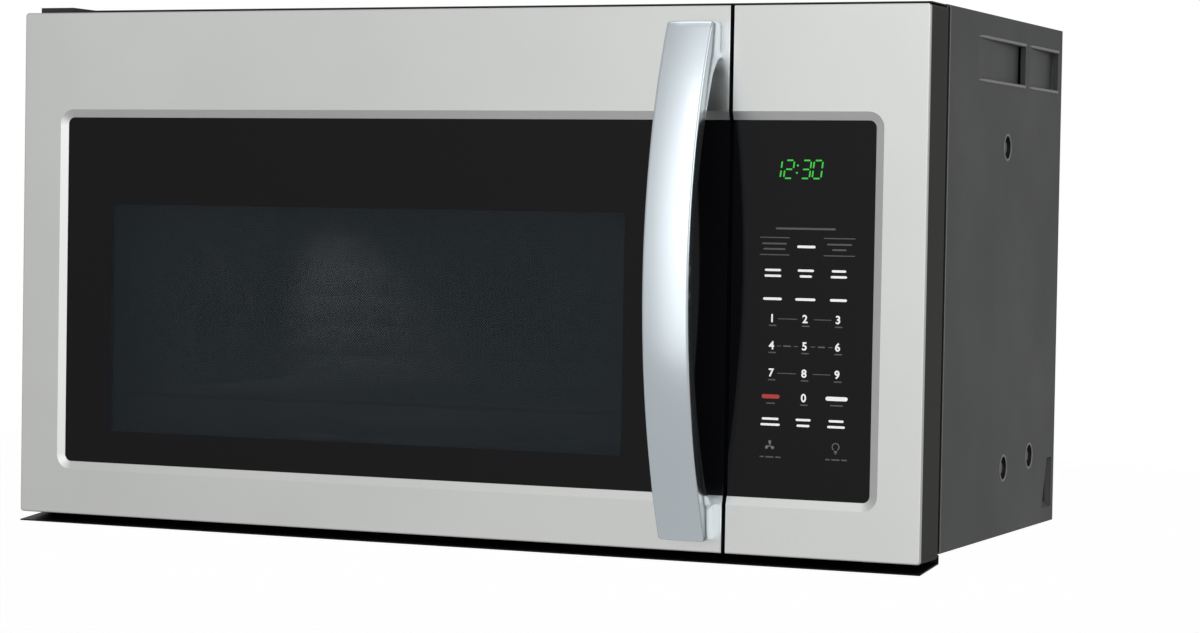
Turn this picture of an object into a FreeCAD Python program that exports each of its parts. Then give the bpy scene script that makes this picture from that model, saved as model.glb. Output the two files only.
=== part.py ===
import FreeCAD, Part
import math
import os
import Sketcher

# A wall-hung microwave oven with a cooker hood underneath. Millimetres.
# Frame: X across the front to the viewer's right, Y from the front to the wall, Z up.
# The origin is on the wall, at the centre of the wall plate's bolt holes, half way up the oven.

V = FreeCAD.Vector

SIZES = {
    # the whole oven, handle included
    "overall_width": 755.65,
    "overall_height": 412.75,
    "overall_depth": 430.53,
    "handle_reach": 60.53,
    "door_thickness": 45.0,
    "door_clearance": 1.0,
    "hinge_rise": 2.85,
    "lip_drop": 7.5,
    "body_lift": 3.4,
    "body_crown": 2.4,
    "body_setback": 1.825,
    "sheet_gauge": 1.0,
    # front: door, panel and their black glass
    "panel_width": 148.55,
    "panel_gap": 3.1,
    "skin_depth": 3.0,
    "skin_rim": 1.2,
    "skin_edge": 1.2,
    "glass_top": 83.2,
    "glass_bottom": 42.2,
    "glass_left": 40.5,
    "glass_right": 39.1,
    "glass_corner": 5.5,
    "glass_gauge": 3.0,
    "glass_tuck": 1.5,
    "bevel_width": 6.3,
    "bevel_depth": 2.0,
    "window_left": 80.6,
    "window_right": 81.9,
    "window_bottom": 67.6,
    "window_top": 151.9,
    "case_wall": 3.0,
    "case_web": 2.5,
    "case_gap": 5.5,
    "case_corner": 2.6,
    "case_seam": 2.2,
    # handle
    "handle_inset": 6.5,
    "handle_width": 36.0,
    "handle_top": 12.2,
    "handle_bottom": 9.8,
    "handle_end_reach": 20.0,
    "handle_bar": 13.0,
    "handle_foot": 26.0,
    "handle_edge": 2.6,
    "handle_heel": 9.0,
    "handle_screw_radius": 2.4,
    # hinges
    "hinge_inset": 12.0,
    "hinge_setback": 18.0,
    "pin_radius": 4.0,
    "running_gap": 0.05,
    "pin_length": 12.0,
    "hinge_boss": 8.5,
    "hinge_plate": 1.6,
    "hinge_width": 30.0,
    # cavity
    "cavity_inset": 37.0,
    "cavity_lift": 48.0,
    "cavity_headroom": 107.0,
    "cavity_rear_space": 22.0,
    "pyramid_pitch_x": 31.0,
    "pyramid_pitch_z": 27.0,
    "pyramid_height": 4.0,
    # door inner
    "choke_margin": 16.0,
    "choke_depth": 6.0,
    "choke_overlap": 10.0,
    "pane_gauge": 2.5,
    "fit_gap": 0.3,
    # latch
    "hook_upper_drop": 32.125,
    "hook_lower_lift": 52.875,
    "hook_inset": 13.0,
    "hook_gauge": 4.0,
    "hook_height": 9.0,
    "hook_nose": 5.0,
    "hook_reach": 24.0,
    "latch_lift": 3.0,
    "latch_room": 1.0,
    "latch_bar": 10.0,
    # turntable
    "motor_radius": 25.0,
    "motor_height": 16.0,
    "drive_shaft": 3.5,
    "hub_radius": 19.0,
    "hub_lift": 1.2,
    "roller_radius": 9.0,
    "roller_width": 8.0,
    "roller_circle": 106.0,
    "roller_axle": 1.6,
    "roller_gap": 0.35,
    "ring_inner_radius": 90.0,
    "ring_outer_radius": 98.0,
    "ring_height": 6.0,
    "tray_clearance": 6.0,
    "tray_gauge": 5.0,
    "tray_rim": 9.0,
    # rack
    "rack_level": 46.0,
    "rack_margin": 22.0,
    "rack_rod": 2.6,
    "rack_side": 2.2,
    "rack_wire": 1.5,
    "rack_pitch": 24.0,
    "rack_inset": 20.0,
    "rack_peg": 5.5,
    "rack_peg_width": 10.0,
    "rack_end_gap": 1.0,
    # side of the casing
    "louvre_height": 30.0,
    "louvre_drop": 19.0,
    "louvre_recess": 6.0,
    "louvre_return": 3.0,
    "long_louvre_back": 112.0,
    "long_louvre_length": 129.0,
    "short_louvre_back": 14.0,
    "short_louvre_length": 86.0,
    "dimple_radius": 9.0,
    "dimple_depth": 4.0,
    "dimple_high_drop": 99.0,
    "dimple_high_back": 158.0,
    "dimple_low_lift": 52.0,
    "dimple_low_back": 152.0,
    "dimple_rear_lift": 57.0,
    "dimple_rear_back": 78.0,
    "notch_back": 37.0,
    "notch_width": 27.0,
    "notch_lift": 12.0,
    "notch_height": 40.0,
    "screw_radius": 2.0,
    "screw_head": 4.2,
    "screw_head_height": 2.2,
    # lip, grille
    "lip_rise": 4.3,
    "lip_setback": 0.5,
    "lip_flange": 20.0,
    "lip_inset": 30.0,
    "grille_setback": 5.0,
    "grille_left": 38.0,
    "grille_gauge": 1.4,
    "grille_tongue": 0.8,
    "grille_riser": 6.0,
    "grille_inset": 24.0,
    "grille_back": 42.0,
    "grille_slot": 5.0,
    "grille_pitch": 9.0,
    "outlet_left": 130.0,
    "outlet_width": 420.0,
    "outlet_depth": 26.0,
    "filter_gauge": 9.0,
    # wall plate and cabinet fixing
    "wall_plate_gauge": 2.0,
    "wall_plate_inset": 26.0,
    "wall_plate_height": 300.0,
    "wall_bolt_spacing_x": 406.4,
    "wall_bolt_spacing_z": 203.2,
    "wall_bolt_radius": 4.0,
    "cabinet_bolt_spacing": 584.2,
    "cabinet_bolt_setback": 75.0,
    "cabinet_bolt_radius": 3.4,
    "hook_tab_spacing": 480.0,
    "hook_tab_width": 40.0,
    "hook_tab_reach": 10.0,
    "hook_tab_drop": 130.0,
    # hood
    "filter_width": 250.0,
    "filter_front_space": 21.0,
    "filter_height": 8.0,
    "filter_side_space": 21.0,
    "filter_rear_space": 90.0,
    "filter_gap": 0.8,
    "filter_frame": 12.0,
    "duct_width": 256.0,
    "duct_depth": 84.0,
    "duct_back": 17.0,
    "collar_height": 20.0,
    "flap_gauge": 1.2,
    "flap_drop": 5.0,
    "flap_pin": 1.6,
    "flap_gap": 1.2,
    "wheel_radius": 33.0,
    "wheel_width": 76.0,
    "wheel_gap": 12.0,
    "blade_gauge": 1.2,
    "blower_motor_radius": 27.0,
    "blower_motor_width": 42.0,
    "blower_shaft": 3.0,
    "inlet_radius": 29.0,
    "lamp_width": 200.0,
    "lamp_depth": 54.0,
    "lamp_back": 18.0,
    "lamp_gauge": 2.5,
    "lamp_pin": 1.5,
    "bulb_radius": 9.0,
    # convection unit
    "convection_radius": 78.0,
    "convection_flange": 8.0,
    "convection_margin": 7.0,
    "convection_height": 24.0,
    "convection_fan_gap": 14.0,
    "convection_fan_height": 12.0,
    "convection_shaft": 3.0,
    "element_inset": 16.0,
    "element_radius": 3.2,
    "convection_motor_radius": 26.0,
    "convection_motor_height": 34.0,
    "vent_hole": 3.0,
    # electrical compartment
    "guide_width": 22.0,
    "guide_height": 92.0,
    "guide_depth": 78.0,
    "guide_drop": 70.0,
    "guide_back": 98.0,
    "magnetron_width": 84.0,
    "magnetron_height": 72.0,
    "antenna_radius": 8.0,
    "fan_radius": 38.0,
    "fan_back": 210.0,
    "fan_depth": 22.0,
    "fan_shaft": 2.5,
    "transformer_width": 88.0,
    "transformer_depth": 84.0,
    "transformer_height": 76.0,
    "transformer_back": 120.0,
    "capacitor_width": 56.0,
    "capacitor_depth": 34.0,
    "capacitor_height": 84.0,
    "board_gauge": 1.6,
    "board_back": 13.0,
    "display_left": 33.0,
    "display_width": 42.0,
    "display_height": 20.0,
    "display_drop": 109.0,
    "switch_width": 6.5,
    "switch_height": 16.0,
    "switch_depth": 20.0,
    "gland_radius": 11.0,
    "gland_flange": 16.0,
    "gland_back": 60.0,
    "gland_inset": 48.0,
}

doc = FreeCAD.newDocument("over_range_microwave")
sheet = doc.addObject("Spreadsheet::Sheet", "dims")


def number_of(value):
    return value.number if isinstance(value, Size) else float(value)


def text_of(value):
    return value.text if isinstance(value, Size) else "%.9g" % value


class Size:
    """A length that knows its number and the expression that gives it from the sheet."""

    def __init__(self, number, text):
        self.number = number
        self.text = text

    def __add__(self, other):
        return Size(self.number + number_of(other), "(%s + %s)" % (self.text, text_of(other)))

    def __radd__(self, other):
        return Size(number_of(other) + self.number, "(%s + %s)" % (text_of(other), self.text))

    def __sub__(self, other):
        return Size(self.number - number_of(other), "(%s - %s)" % (self.text, text_of(other)))

    def __rsub__(self, other):
        return Size(number_of(other) - self.number, "(%s - %s)" % (text_of(other), self.text))

    def __mul__(self, other):
        return Size(self.number * number_of(other), "(%s * %s)" % (self.text, text_of(other)))

    __rmul__ = __mul__

    def __truediv__(self, other):
        return Size(self.number / number_of(other), "(%s / %s)" % (self.text, text_of(other)))

    def __neg__(self):
        return Size(-self.number, "(0 - %s)" % self.text)


class Sheet:
    """The driving sizes, each one a cell of the sheet with an alias."""

    def __init__(self, sizes):
        for row, (name, value) in enumerate(sizes.items(), 1):
            sheet.set("A%d" % row, name.replace("_", " "))
            sheet.set("B%d" % row, str(value))
            sheet.setAlias("B%d" % row, name)
            setattr(self, name, Size(value, "dims." + name))


s = Sheet(SIZES)
doc.recompute()
NODES = []


# ---------------------------------------------------------------- helpers

def bind(item, path, value):
    """Tie one property to its size in the sheet."""
    item.setExpression(path, text_of(value))


def place(item, spot, turn=None):
    if turn is not None:
        item.Placement = FreeCAD.Placement(V(0, 0, 0), turn)
    for letter, value in zip("xyz", spot):
        bind(item, "Placement.Base." + letter, value)


def block(name, low, high):
    """A box between two opposite corners."""
    item = doc.addObject("Part::Box", name)
    for side, start, end in zip(("Length", "Width", "Height"), low, high):
        bind(item, side, end - start)
    place(item, low)
    return item


ALONG = {
    "x": FreeCAD.Rotation(V(0, 1, 0), 90),
    "y": FreeCAD.Rotation(V(1, 0, 0), -90),
    "z": FreeCAD.Rotation(),
}


def rod(name, start, along, radius, length):
    """A cylinder from its start point along a row axis."""
    item = doc.addObject("Part::Cylinder", name)
    bind(item, "Radius", radius)
    bind(item, "Height", length)
    place(item, start, ALONG[along])
    return item


def wedge(name, low, high, low_end, high_end):
    """A box whose X and Z limits change along Y: low to high at the front, the ends at the back."""
    item = doc.addObject("Part::Wedge", name)
    limits = {
        "Xmin": low[0], "Ymin": low[1], "Zmin": low[2], "Xmax": high[0], "Ymax": high[1],
        "Zmax": high[2], "X2min": low_end[0], "Z2min": low_end[1], "X2max": high_end[0],
        "Z2max": high_end[1],
    }
    for path, value in limits.items():
        setattr(item, path, number_of(value))
    for path, value in limits.items():
        bind(item, path, value)
    return item


def fuse(name, *items):
    item = doc.addObject("Part::MultiFuse", name)
    item.Shapes = list(items)
    return item


def group(name, *items):
    """Separate solids kept together."""
    item = doc.addObject("Part::Compound", name)
    item.Links = list(items)
    return item


def cut(name, base, *tools):
    item = doc.addObject("Part::Cut", name)
    item.Base = base
    item.Tool = tools[0] if len(tools) == 1 else group(name + "_tools", *tools)
    return item


def finish(node, item):
    """Name a finished sub-part."""
    item.Label = node
    NODES.append(item)
    return item


SKETCH_TURN = {
    "xy": FreeCAD.Rotation(),
    "yz": FreeCAD.Rotation(V(1, 1, 1), 120),
    "xz": FreeCAD.Rotation(V(1, 0, 0), 90),
}
SKETCH_AXIS = {"xy": V(0, 0, 1), "yz": V(1, 0, 0), "xz": V(0, 1, 0)}
SKETCH_LETTER = {"xy": "z", "yz": "x", "xz": "y"}


def pin_point(sketch, geometry, end, spot):
    """Hold one end of a sketch line at a spot that follows the sheet."""
    for kind, value in zip(("DistanceX", "DistanceY"), spot):
        index = sketch.addConstraint(
            Sketcher.Constraint(kind, -1, 1, geometry, end, number_of(value)))
        sketch.setExpression("Constraints[%d]" % index, text_of(value))


def turns_left(start, middle, end):
    return (middle.x - start.x) * (end.y - middle.y) > (middle.y - start.y) * (end.x - middle.x)


def draw_outline(sketch, points):
    """A closed chain of straight sides; a corner given as (u, v, middle, radius) ends an arc.

    The sketcher keeps every arc anticlockwise, so one that runs the other way is drawn from its end.
    """
    count = len(points)
    spots = [V(number_of(point[0]), number_of(point[1]), 0) for point in points]
    first = sketch.GeometryCount
    ends = []
    for index in range(count):
        after = points[(index + 1) % count]
        start, end = spots[index], spots[(index + 1) % count]
        forward = True
        if len(after) > 2:
            middle = V(number_of(after[2][0]), number_of(after[2][1]), 0)
            forward = turns_left(start, middle, end)
            arc = Part.Arc(start, middle, end) if forward else Part.Arc(end, middle, start)
            sketch.addGeometry(arc, False)
        else:
            sketch.addGeometry(Part.LineSegment(start, end), False)
        ends.append((1, 2) if forward else (2, 1))
    for index in range(count):
        follower = (index + 1) % count
        sketch.addConstraint(Sketcher.Constraint(
            "Coincident", first + index, ends[index][1], first + follower, ends[follower][0]))
    for index, point in enumerate(points):
        pin_point(sketch, first + index, ends[index][0], point[:2])
    for index in range(count):
        after = points[(index + 1) % count]
        if len(after) > 2:
            ring = sketch.addConstraint(
                Sketcher.Constraint("Radius", first + index, number_of(after[3])))
            bind(sketch, "Constraints[%d]" % ring, after[3])


def prism(name, plane, points, low, high):
    """A straight-sided outline on a row plane, drawn out from low to high along its normal."""
    sketch = doc.addObject("Sketcher::SketchObject", name + "_outline")
    sketch.Placement = FreeCAD.Placement(V(0, 0, 0), SKETCH_TURN[plane])
    draw_outline(sketch, points)
    bind(sketch, "Placement.Base." + SKETCH_LETTER[plane], low)
    item = doc.addObject("Part::Extrusion", name)
    item.Base = sketch
    item.DirMode = "Custom"
    item.Dir = SKETCH_AXIS[plane]
    item.Solid = True
    bind(item, "LengthFwd", high - low)
    return item


# PartDesign bodies

PLANE_ROLE = {"xy": "XY_Plane", "yz": "YZ_Plane", "xz": "XZ_Plane"}


def new_body(node):
    item = doc.addObject("PartDesign::Body", node + "_body")
    return item


def sketch_on(body, plane, name, level):
    """A sketch parallel to a row plane; on xz the offset counts towards the front."""
    origin_plane = [f for f in body.Origin.OriginFeatures if f.Role == PLANE_ROLE[plane]][0]
    sketch = body.newObject("Sketcher::SketchObject", name)
    sketch.AttachmentSupport = (origin_plane, [""])
    sketch.MapMode = "FlatFace"
    bind(sketch, "AttachmentOffset.Base.z", -level if plane == "xz" else level)
    return sketch


def pad(body, sketch, length, name, reverse=False):
    item = body.newObject("PartDesign::Pad", name)
    item.Profile = sketch
    item.Reversed = reverse
    bind(item, "Length", length)
    sketch.Visibility = False
    return item


def pocket(body, sketch, length, name, reverse=False):
    """A cut that must take something away."""
    doc.recompute()
    before = body.Shape.Volume
    item = body.newObject("PartDesign::Pocket", name)
    item.Profile = sketch
    item.Reversed = reverse
    bind(item, "Length", length)
    doc.recompute()
    if body.Shape.Volume > before - 1e-3:
        raise RuntimeError("%s cuts nothing" % name)
    return item


def edges_where(shape, test):
    """Names of the edges whose ends and middle all pass the test."""
    names = []
    for index, edge in enumerate(shape.Edges, 1):
        first, last = edge.ParameterRange
        spots = [edge.valueAt(first), edge.valueAt((first + last) / 2), edge.valueAt(last)]
        if all(test(spot) for spot in spots):
            names.append("Edge%d" % index)
    return names


def round_edges(body, name, test, radius):
    doc.recompute()
    base = body.Tip
    item = body.newObject("PartDesign::Fillet", name)
    item.Base = (base, edges_where(base.Shape, test))
    bind(item, "Radius", radius)
    return item


def near(one, other):
    return abs(one - number_of(other)) < 1e-4


# ---------------------------------------------------------------- datum places

half_width = s.overall_width / 2
face_y = s.handle_reach - s.overall_depth
body_front = face_y + s.door_thickness
door_back = body_front - s.door_clearance
back_y = -s.wall_plate_gauge
lip_z = -(s.overall_height / 2)
top_z = s.overall_height / 2
fascia_foot = lip_z + s.lip_drop
fascia_height = s.overall_height - s.lip_drop - s.body_crown - s.hinge_rise
fascia_head = fascia_foot + fascia_height
body_floor = fascia_foot + s.body_lift
body_roof = fascia_head + s.body_crown
side_x = half_width - s.body_setback
gauge = s.sheet_gauge

door_left = -half_width
door_width = s.overall_width - s.panel_width - s.panel_gap
door_right = door_left + door_width
panel_left = door_right + s.panel_gap
panel_right = half_width
glass_foot = fascia_foot + s.glass_bottom
glass_head = fascia_head - s.glass_top
door_glass_left = door_left + s.glass_left
panel_glass_right = panel_right - s.glass_right
glass_front = face_y + s.skin_depth
glass_back = glass_front + s.glass_gauge
web_back = glass_back + s.case_web
case_back = body_front - s.case_gap

cavity_mid = door_left + door_width / 2
cavity_left = door_left + s.cavity_inset
cavity_right = door_right - s.cavity_inset
cavity_floor = fascia_foot + s.cavity_lift
cavity_ceiling = fascia_head - s.cavity_headroom
cavity_front = body_front + gauge
cavity_rear = back_y - s.cavity_rear_space
cavity_depth = cavity_rear - cavity_front
cavity_middle_y = cavity_front + cavity_depth / 2
tray_radius = cavity_depth / 2 - s.tray_clearance

hinge_x = door_left + s.hinge_inset
hinge_y = body_front - s.hinge_setback
hook_x = door_right - s.hook_inset
hook_upper = cavity_ceiling - s.hook_upper_drop
hook_lower = cavity_floor + s.hook_lower_lift

choke_left = cavity_left - s.choke_margin
choke_right = cavity_right + s.choke_margin
choke_foot = cavity_floor - s.choke_margin
choke_head = cavity_ceiling + s.choke_margin
choke_front = door_back - s.choke_depth


# ---------------------------------------------------------------- casing

def louvre(name, hand, behind, length):
    """A pressed ramp that sinks towards the rear, ends at a slot and leaves a short return there."""
    low_z = body_roof - s.louvre_drop - s.louvre_height
    high_z = body_roof - s.louvre_drop
    back = -behind
    front = back - length
    if hand > 0:
        skin, sunk, clear = side_x - gauge, side_x - gauge - s.louvre_recess, side_x + gauge
        boss = wedge(name + "_boss", (skin, front, low_z - gauge), (side_x, back, high_z + gauge),
                     (sunk, low_z - gauge), (side_x, high_z + gauge))
        recess = wedge(name + "_recess", (side_x, front, low_z), (clear, back, high_z),
                       (side_x - s.louvre_recess, low_z), (clear, high_z))
        edge = block(name + "_return", (skin - s.louvre_return, back, low_z - gauge),
                     (side_x, back + gauge, high_z + gauge))
    else:
        skin, sunk, clear = gauge - side_x, gauge - side_x + s.louvre_recess, -side_x - gauge
        boss = wedge(name + "_boss", (-side_x, front, low_z - gauge), (skin, back, high_z + gauge),
                     (-side_x, low_z - gauge), (sunk, high_z + gauge))
        recess = wedge(name + "_recess", (clear, front, low_z), (-side_x, back, high_z),
                       (clear, low_z), (s.louvre_recess - side_x, high_z))
        edge = block(name + "_return", (-side_x, back, low_z - gauge),
                     (skin + s.louvre_return, back + gauge, high_z + gauge))
    return [boss, edge], recess


def dimple_places():
    """Y and Z of the three screw dimples in each side."""
    return {
        "high": (-s.dimple_high_back, body_roof - s.dimple_high_drop),
        "low": (-s.dimple_low_back, body_floor + s.dimple_low_lift),
        "rear": (-s.dimple_rear_back, body_floor + s.dimple_rear_lift),
    }


def outer_wrap():
    shell = cut("wrap_shell",
                block("wrap_outside", (-side_x, body_front, body_floor), (side_x, back_y, body_roof)),
                block("wrap_inside", (gauge - side_x, body_front - gauge, body_floor - gauge),
                      (side_x - gauge, back_y + gauge, body_roof - gauge)))
    added = [shell]
    taken = []
    for side, hand in (("right", 1), ("left", -1)):
        for kind, behind, length in (("long", s.long_louvre_back, s.long_louvre_length),
                                     ("short", s.short_louvre_back, s.short_louvre_length)):
            pressed, recess = louvre("%s_%s_louvre" % (side, kind), hand, behind, length)
            added.extend(pressed)
            taken.append(recess)
        cup = s.dimple_depth + gauge
        for kind, (y, z) in dimple_places().items():
            name = "%s_%s_dimple" % (side, kind)
            start = side_x - cup if hand > 0 else -side_x
            added.append(rod(name + "_cup", (start, y, z), "x", s.dimple_radius + gauge, cup))
            mouth = side_x - s.dimple_depth if hand > 0 else -side_x - gauge
            taken.append(rod(name + "_mouth", (mouth, y, z), "x", s.dimple_radius,
                             s.dimple_depth + gauge))
            hole = side_x - cup - gauge if hand > 0 else s.dimple_depth - side_x - gauge
            taken.append(rod(name + "_hole", (hole, y, z), "x", s.screw_radius + s.running_gap,
                             3 * gauge))
        wall = side_x - 2 * gauge if hand > 0 else -side_x - gauge
        low = body_floor + s.notch_lift
        high = low + s.notch_height
        taken.append(prism("%s_notch" % side, "yz", [
            (-s.notch_back, low),
            (s.notch_width - s.notch_back, low),
            (s.notch_width - s.notch_back, high),
            (s.notch_width / 2 - s.notch_back, high),
        ], wall, wall + 3 * gauge))
    roof = body_roof - 2 * gauge
    above = body_roof + gauge
    taken.append(block("outlet_hole", (-half_width + s.outlet_left, body_front + 4 * gauge, roof),
                       (-half_width + s.outlet_left + s.outlet_width,
                        body_front + 4 * gauge + s.outlet_depth, above)))
    taken.append(block("duct_hole", (gauge - s.duct_width / 2, gauge - s.duct_back - s.duct_depth, roof),
                       (s.duct_width / 2 - gauge, -s.duct_back - gauge, above)))
    for name, x in (("left", -s.cabinet_bolt_spacing / 2), ("right", s.cabinet_bolt_spacing / 2)):
        taken.append(rod(name + "_cabinet_hole", (x, body_front + s.cabinet_bolt_setback, roof), "z",
                         s.cabinet_bolt_radius, 3 * gauge))
    taken.append(rod("gland_hole", (side_x - s.gland_inset, -s.gland_back, roof), "z",
                     s.gland_radius, 3 * gauge))
    return cut("wrap", fuse("wrap_solid", *added), *taken)


def hook_slot(name, hand):
    """A slot of the rear sheet whose upper edge rests on a hook tab of the wall plate."""
    centre = hand * s.hook_tab_spacing / 2
    half = s.hook_tab_width / 2 + s.latch_room
    return block(name, (centre - half, back_y - 2 * gauge, -s.hook_tab_drop - s.hook_tab_reach),
                 (centre + half, back_y + gauge, -s.hook_tab_drop + 2 * gauge))


def rear_panel():
    plate = block("rear_sheet", (gauge - side_x, back_y - gauge, body_floor + gauge),
                  (side_x - gauge, back_y, body_roof - gauge))
    slots = [hook_slot("rear_slot_" + name, hand) for name, hand in (("left", -1), ("right", 1))]
    holes = [rod("rear_hole_%d" % index, (x, back_y - 2 * gauge, z), "y",
                 s.screw_radius + s.running_gap, 3 * gauge)
             for index, (x, z) in enumerate(rear_screw_places())]
    return cut("rear", plate, *slots, *holes)


def rear_screw_places():
    """X and Z of the screws in the corners of the rear sheet, clear of the wall plate."""
    x = side_x - 4 * s.screw_head / 2 - gauge
    low = body_floor + 4 * s.screw_head
    high = body_roof - 4 * s.screw_head
    return [(-x, low), (x, low), (-x, high), (x, high)]


def base_plate():
    plate = block("base_sheet", (gauge - side_x, body_front, body_floor),
                  (side_x - gauge, back_y, body_floor + gauge))
    taken = []
    for name, hand in (("left", -1), ("right", 1)):
        middle = hand * filter_spread()
        half = s.filter_width / 2 + s.filter_gap
        taken.append(block("filter_hole_" + name,
                           (middle - half, filter_front() - s.filter_gap, body_floor - gauge),
                           (middle + half, -s.filter_rear_space + s.filter_gap, body_floor + 2 * gauge)))
    half = s.lamp_width / 2 + s.filter_gap
    front = body_front + s.lip_flange + s.lamp_back
    taken.append(block("lamp_hole", (cavity_mid - half, front - s.filter_gap, body_floor - gauge),
                       (cavity_mid + half, front + s.lamp_depth + s.filter_gap, body_floor + 2 * gauge)))
    lugs = []
    for name, hand in (("left", -1), ("right", 1)):
        inner = cavity_mid + hand * half
        outer = inner + hand * gauge
        low, high = (inner, outer) if hand > 0 else (outer, inner)
        lugs.append(block("lamp_lug_" + name, (low, lamp_hinge_y() - 2 * s.lamp_pin - gauge, body_floor),
                          (high, lamp_hinge_y() + 2 * s.lamp_pin + gauge,
                           lamp_hinge_z() + 2 * s.lamp_pin + gauge)))
    pin_hole = rod("lamp_pin_hole", (cavity_mid - half - 2 * gauge, lamp_hinge_y(), lamp_hinge_z()), "x",
                   s.lamp_pin + s.running_gap, 2 * half + 4 * gauge)
    return cut("base", fuse("base_solid", cut("base_holed", plate, *taken), *lugs), pin_hole)


def lamp_rear():
    return body_front + s.lip_flange + s.lamp_back + s.lamp_depth


def filter_front():
    return lamp_rear() + s.filter_front_space + 2 * gauge


def filter_spread():
    return side_x - s.filter_side_space - s.filter_width / 2


def lamp_hinge_y():
    return lamp_rear() - s.lamp_pin - gauge


def lamp_hinge_z():
    return body_floor + s.lamp_pin + gauge


def front_frame():
    plate = block("front_sheet", (gauge - side_x, body_front, body_floor + gauge),
                  (side_x - gauge, cavity_front, body_roof - gauge))
    before, behind = body_front - gauge, cavity_front + gauge
    taken = [block("cavity_mouth", (cavity_left, before, cavity_floor),
                   (cavity_right, behind, cavity_ceiling)),
             block("panel_window", (panel_left + 2 * s.case_wall, before, fascia_foot + s.glass_bottom),
                   (side_x - 5 * s.case_wall, behind, fascia_head - s.glass_top))]
    for name, level in (("upper", hook_upper), ("lower", hook_lower)):
        taken.append(hook_window("frame_slot_" + name, level, before, behind, s.latch_room))
    return cut("front", plate, *taken)


def hook_window(name, level, y_low, y_high, room):
    """The opening that one latch hook passes through, tall enough for its nose and its lift."""
    return block(name, (hook_x - s.hook_gauge / 2 - 3 * room, y_low, level - s.hook_nose - room),
                 (hook_x + s.hook_gauge / 2 + 3 * room, y_high,
                  level + s.hook_height + s.latch_lift + room))


def front_lip():
    tip_y = face_y + s.lip_setback
    blade = prism("lip_blade", "yz", [
        (tip_y, lip_z),
        (body_front + gauge, lip_z + s.lip_rise),
        (body_front + gauge, body_floor),
        (body_front, body_floor),
        (body_front, lip_z + s.lip_rise + gauge),
        (tip_y, lip_z + gauge),
    ], -half_width, half_width)
    flange = block("lip_flange", (s.lip_inset - half_width, body_front, body_floor - gauge),
                   (half_width - s.lip_inset, body_front + s.lip_flange, body_floor))
    return fuse("lip", blade, flange)


def vent_grille():
    """Slotted strip on the roof's front edge, with a thin tongue that reaches over the door's top."""
    low_z = body_roof
    high_z = body_roof + s.grille_gauge
    under = fascia_head + s.door_clearance
    left = s.grille_left - half_width
    right = half_width - gauge
    inner = right - s.grille_inset
    rise_y = body_front - s.grille_riser
    plate = block("grille_plate", (left, rise_y, low_z), (inner, body_front + s.grille_back, high_z))
    riser = block("grille_riser", (left, rise_y, under), (inner, body_front, high_z))
    tongue = block("grille_tongue", (left, face_y + s.grille_setback, under),
                   (right, body_front, under + s.grille_tongue))
    first = -half_width + s.outlet_left + s.grille_slot
    count = int((s.outlet_width.number - 2 * s.grille_slot.number) / s.grille_pitch.number)
    slots = []
    for index in range(count):
        x = first + index * s.grille_pitch
        slots.append(block("grille_slot_%d" % index,
                           (x, body_front + 4 * gauge, low_z - gauge),
                           (x + s.grille_slot, body_front + 4 * gauge + s.outlet_depth, high_z + gauge)))
    return cut("grille", fuse("grille_solid", plate, riser, tongue), *slots)


def wall_plate():
    plate = block("wall_sheet", (s.wall_plate_inset - side_x, back_y, -s.wall_plate_height / 2),
                  (side_x - s.wall_plate_inset, 0 * gauge, s.wall_plate_height / 2))
    holes = []
    for column, x in (("left", -s.wall_bolt_spacing_x / 2), ("right", s.wall_bolt_spacing_x / 2)):
        for row, z in (("low", -s.wall_bolt_spacing_z / 2), ("high", s.wall_bolt_spacing_z / 2)):
            holes.append(rod("wall_hole_%s_%s" % (column, row), (x, back_y - gauge, z), "y",
                             s.wall_bolt_radius, s.wall_plate_gauge + 2 * gauge))
    tabs = []
    for name, hand in (("left", -1), ("right", 1)):
        centre = hand * s.hook_tab_spacing / 2
        low, high = centre - s.hook_tab_width / 2, centre + s.hook_tab_width / 2
        reach = back_y - s.hook_tab_reach
        tabs.append(prism("wall_hook_" + name, "yz", [
            (reach, -s.hook_tab_drop),
            (back_y + gauge, -s.hook_tab_drop),
            (back_y + gauge, -s.hook_tab_drop + 2 * gauge),
            (reach + 2 * gauge, -s.hook_tab_drop + 2 * gauge),
            (reach + 2 * gauge, -s.hook_tab_drop + 6 * gauge),
            (reach, -s.hook_tab_drop + 6 * gauge),
        ], low, high))
    return cut("wall", fuse("wall_solid", plate, *tabs), *holes)


# ---------------------------------------------------------------- hinges

def hinge_bracket(name, low_z, high_z, root_y, pin_low):
    """A flat arm from the casing over the door's end, with its pin."""
    arm = block(name + "_arm", (gauge - side_x, hinge_y - s.hinge_boss, low_z),
                (gauge - side_x + s.hinge_width, root_y, high_z))
    pin = rod(name + "_pin", (hinge_x, hinge_y, pin_low), "z", s.pin_radius, s.pin_length + gauge)
    return [arm, pin]


def upper_hinge():
    head = fascia_head + s.door_clearance
    drop = block("upper_hinge_block", (gauge - side_x, hinge_y - s.hinge_boss, head),
                 (gauge - side_x + s.hinge_width, body_front, body_roof + gauge))
    parts = hinge_bracket("upper_hinge", body_roof, top_z, body_front + s.lip_flange,
                          head - s.pin_length)
    return fuse("upper_hinge", drop, *parts)


def lower_hinge():
    high = fascia_foot - s.fit_gap
    return fuse("lower_hinge", *hinge_bracket("lower_hinge", high - s.hinge_plate, high, body_front,
                                              high - gauge))


# ---------------------------------------------------------------- front

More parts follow.
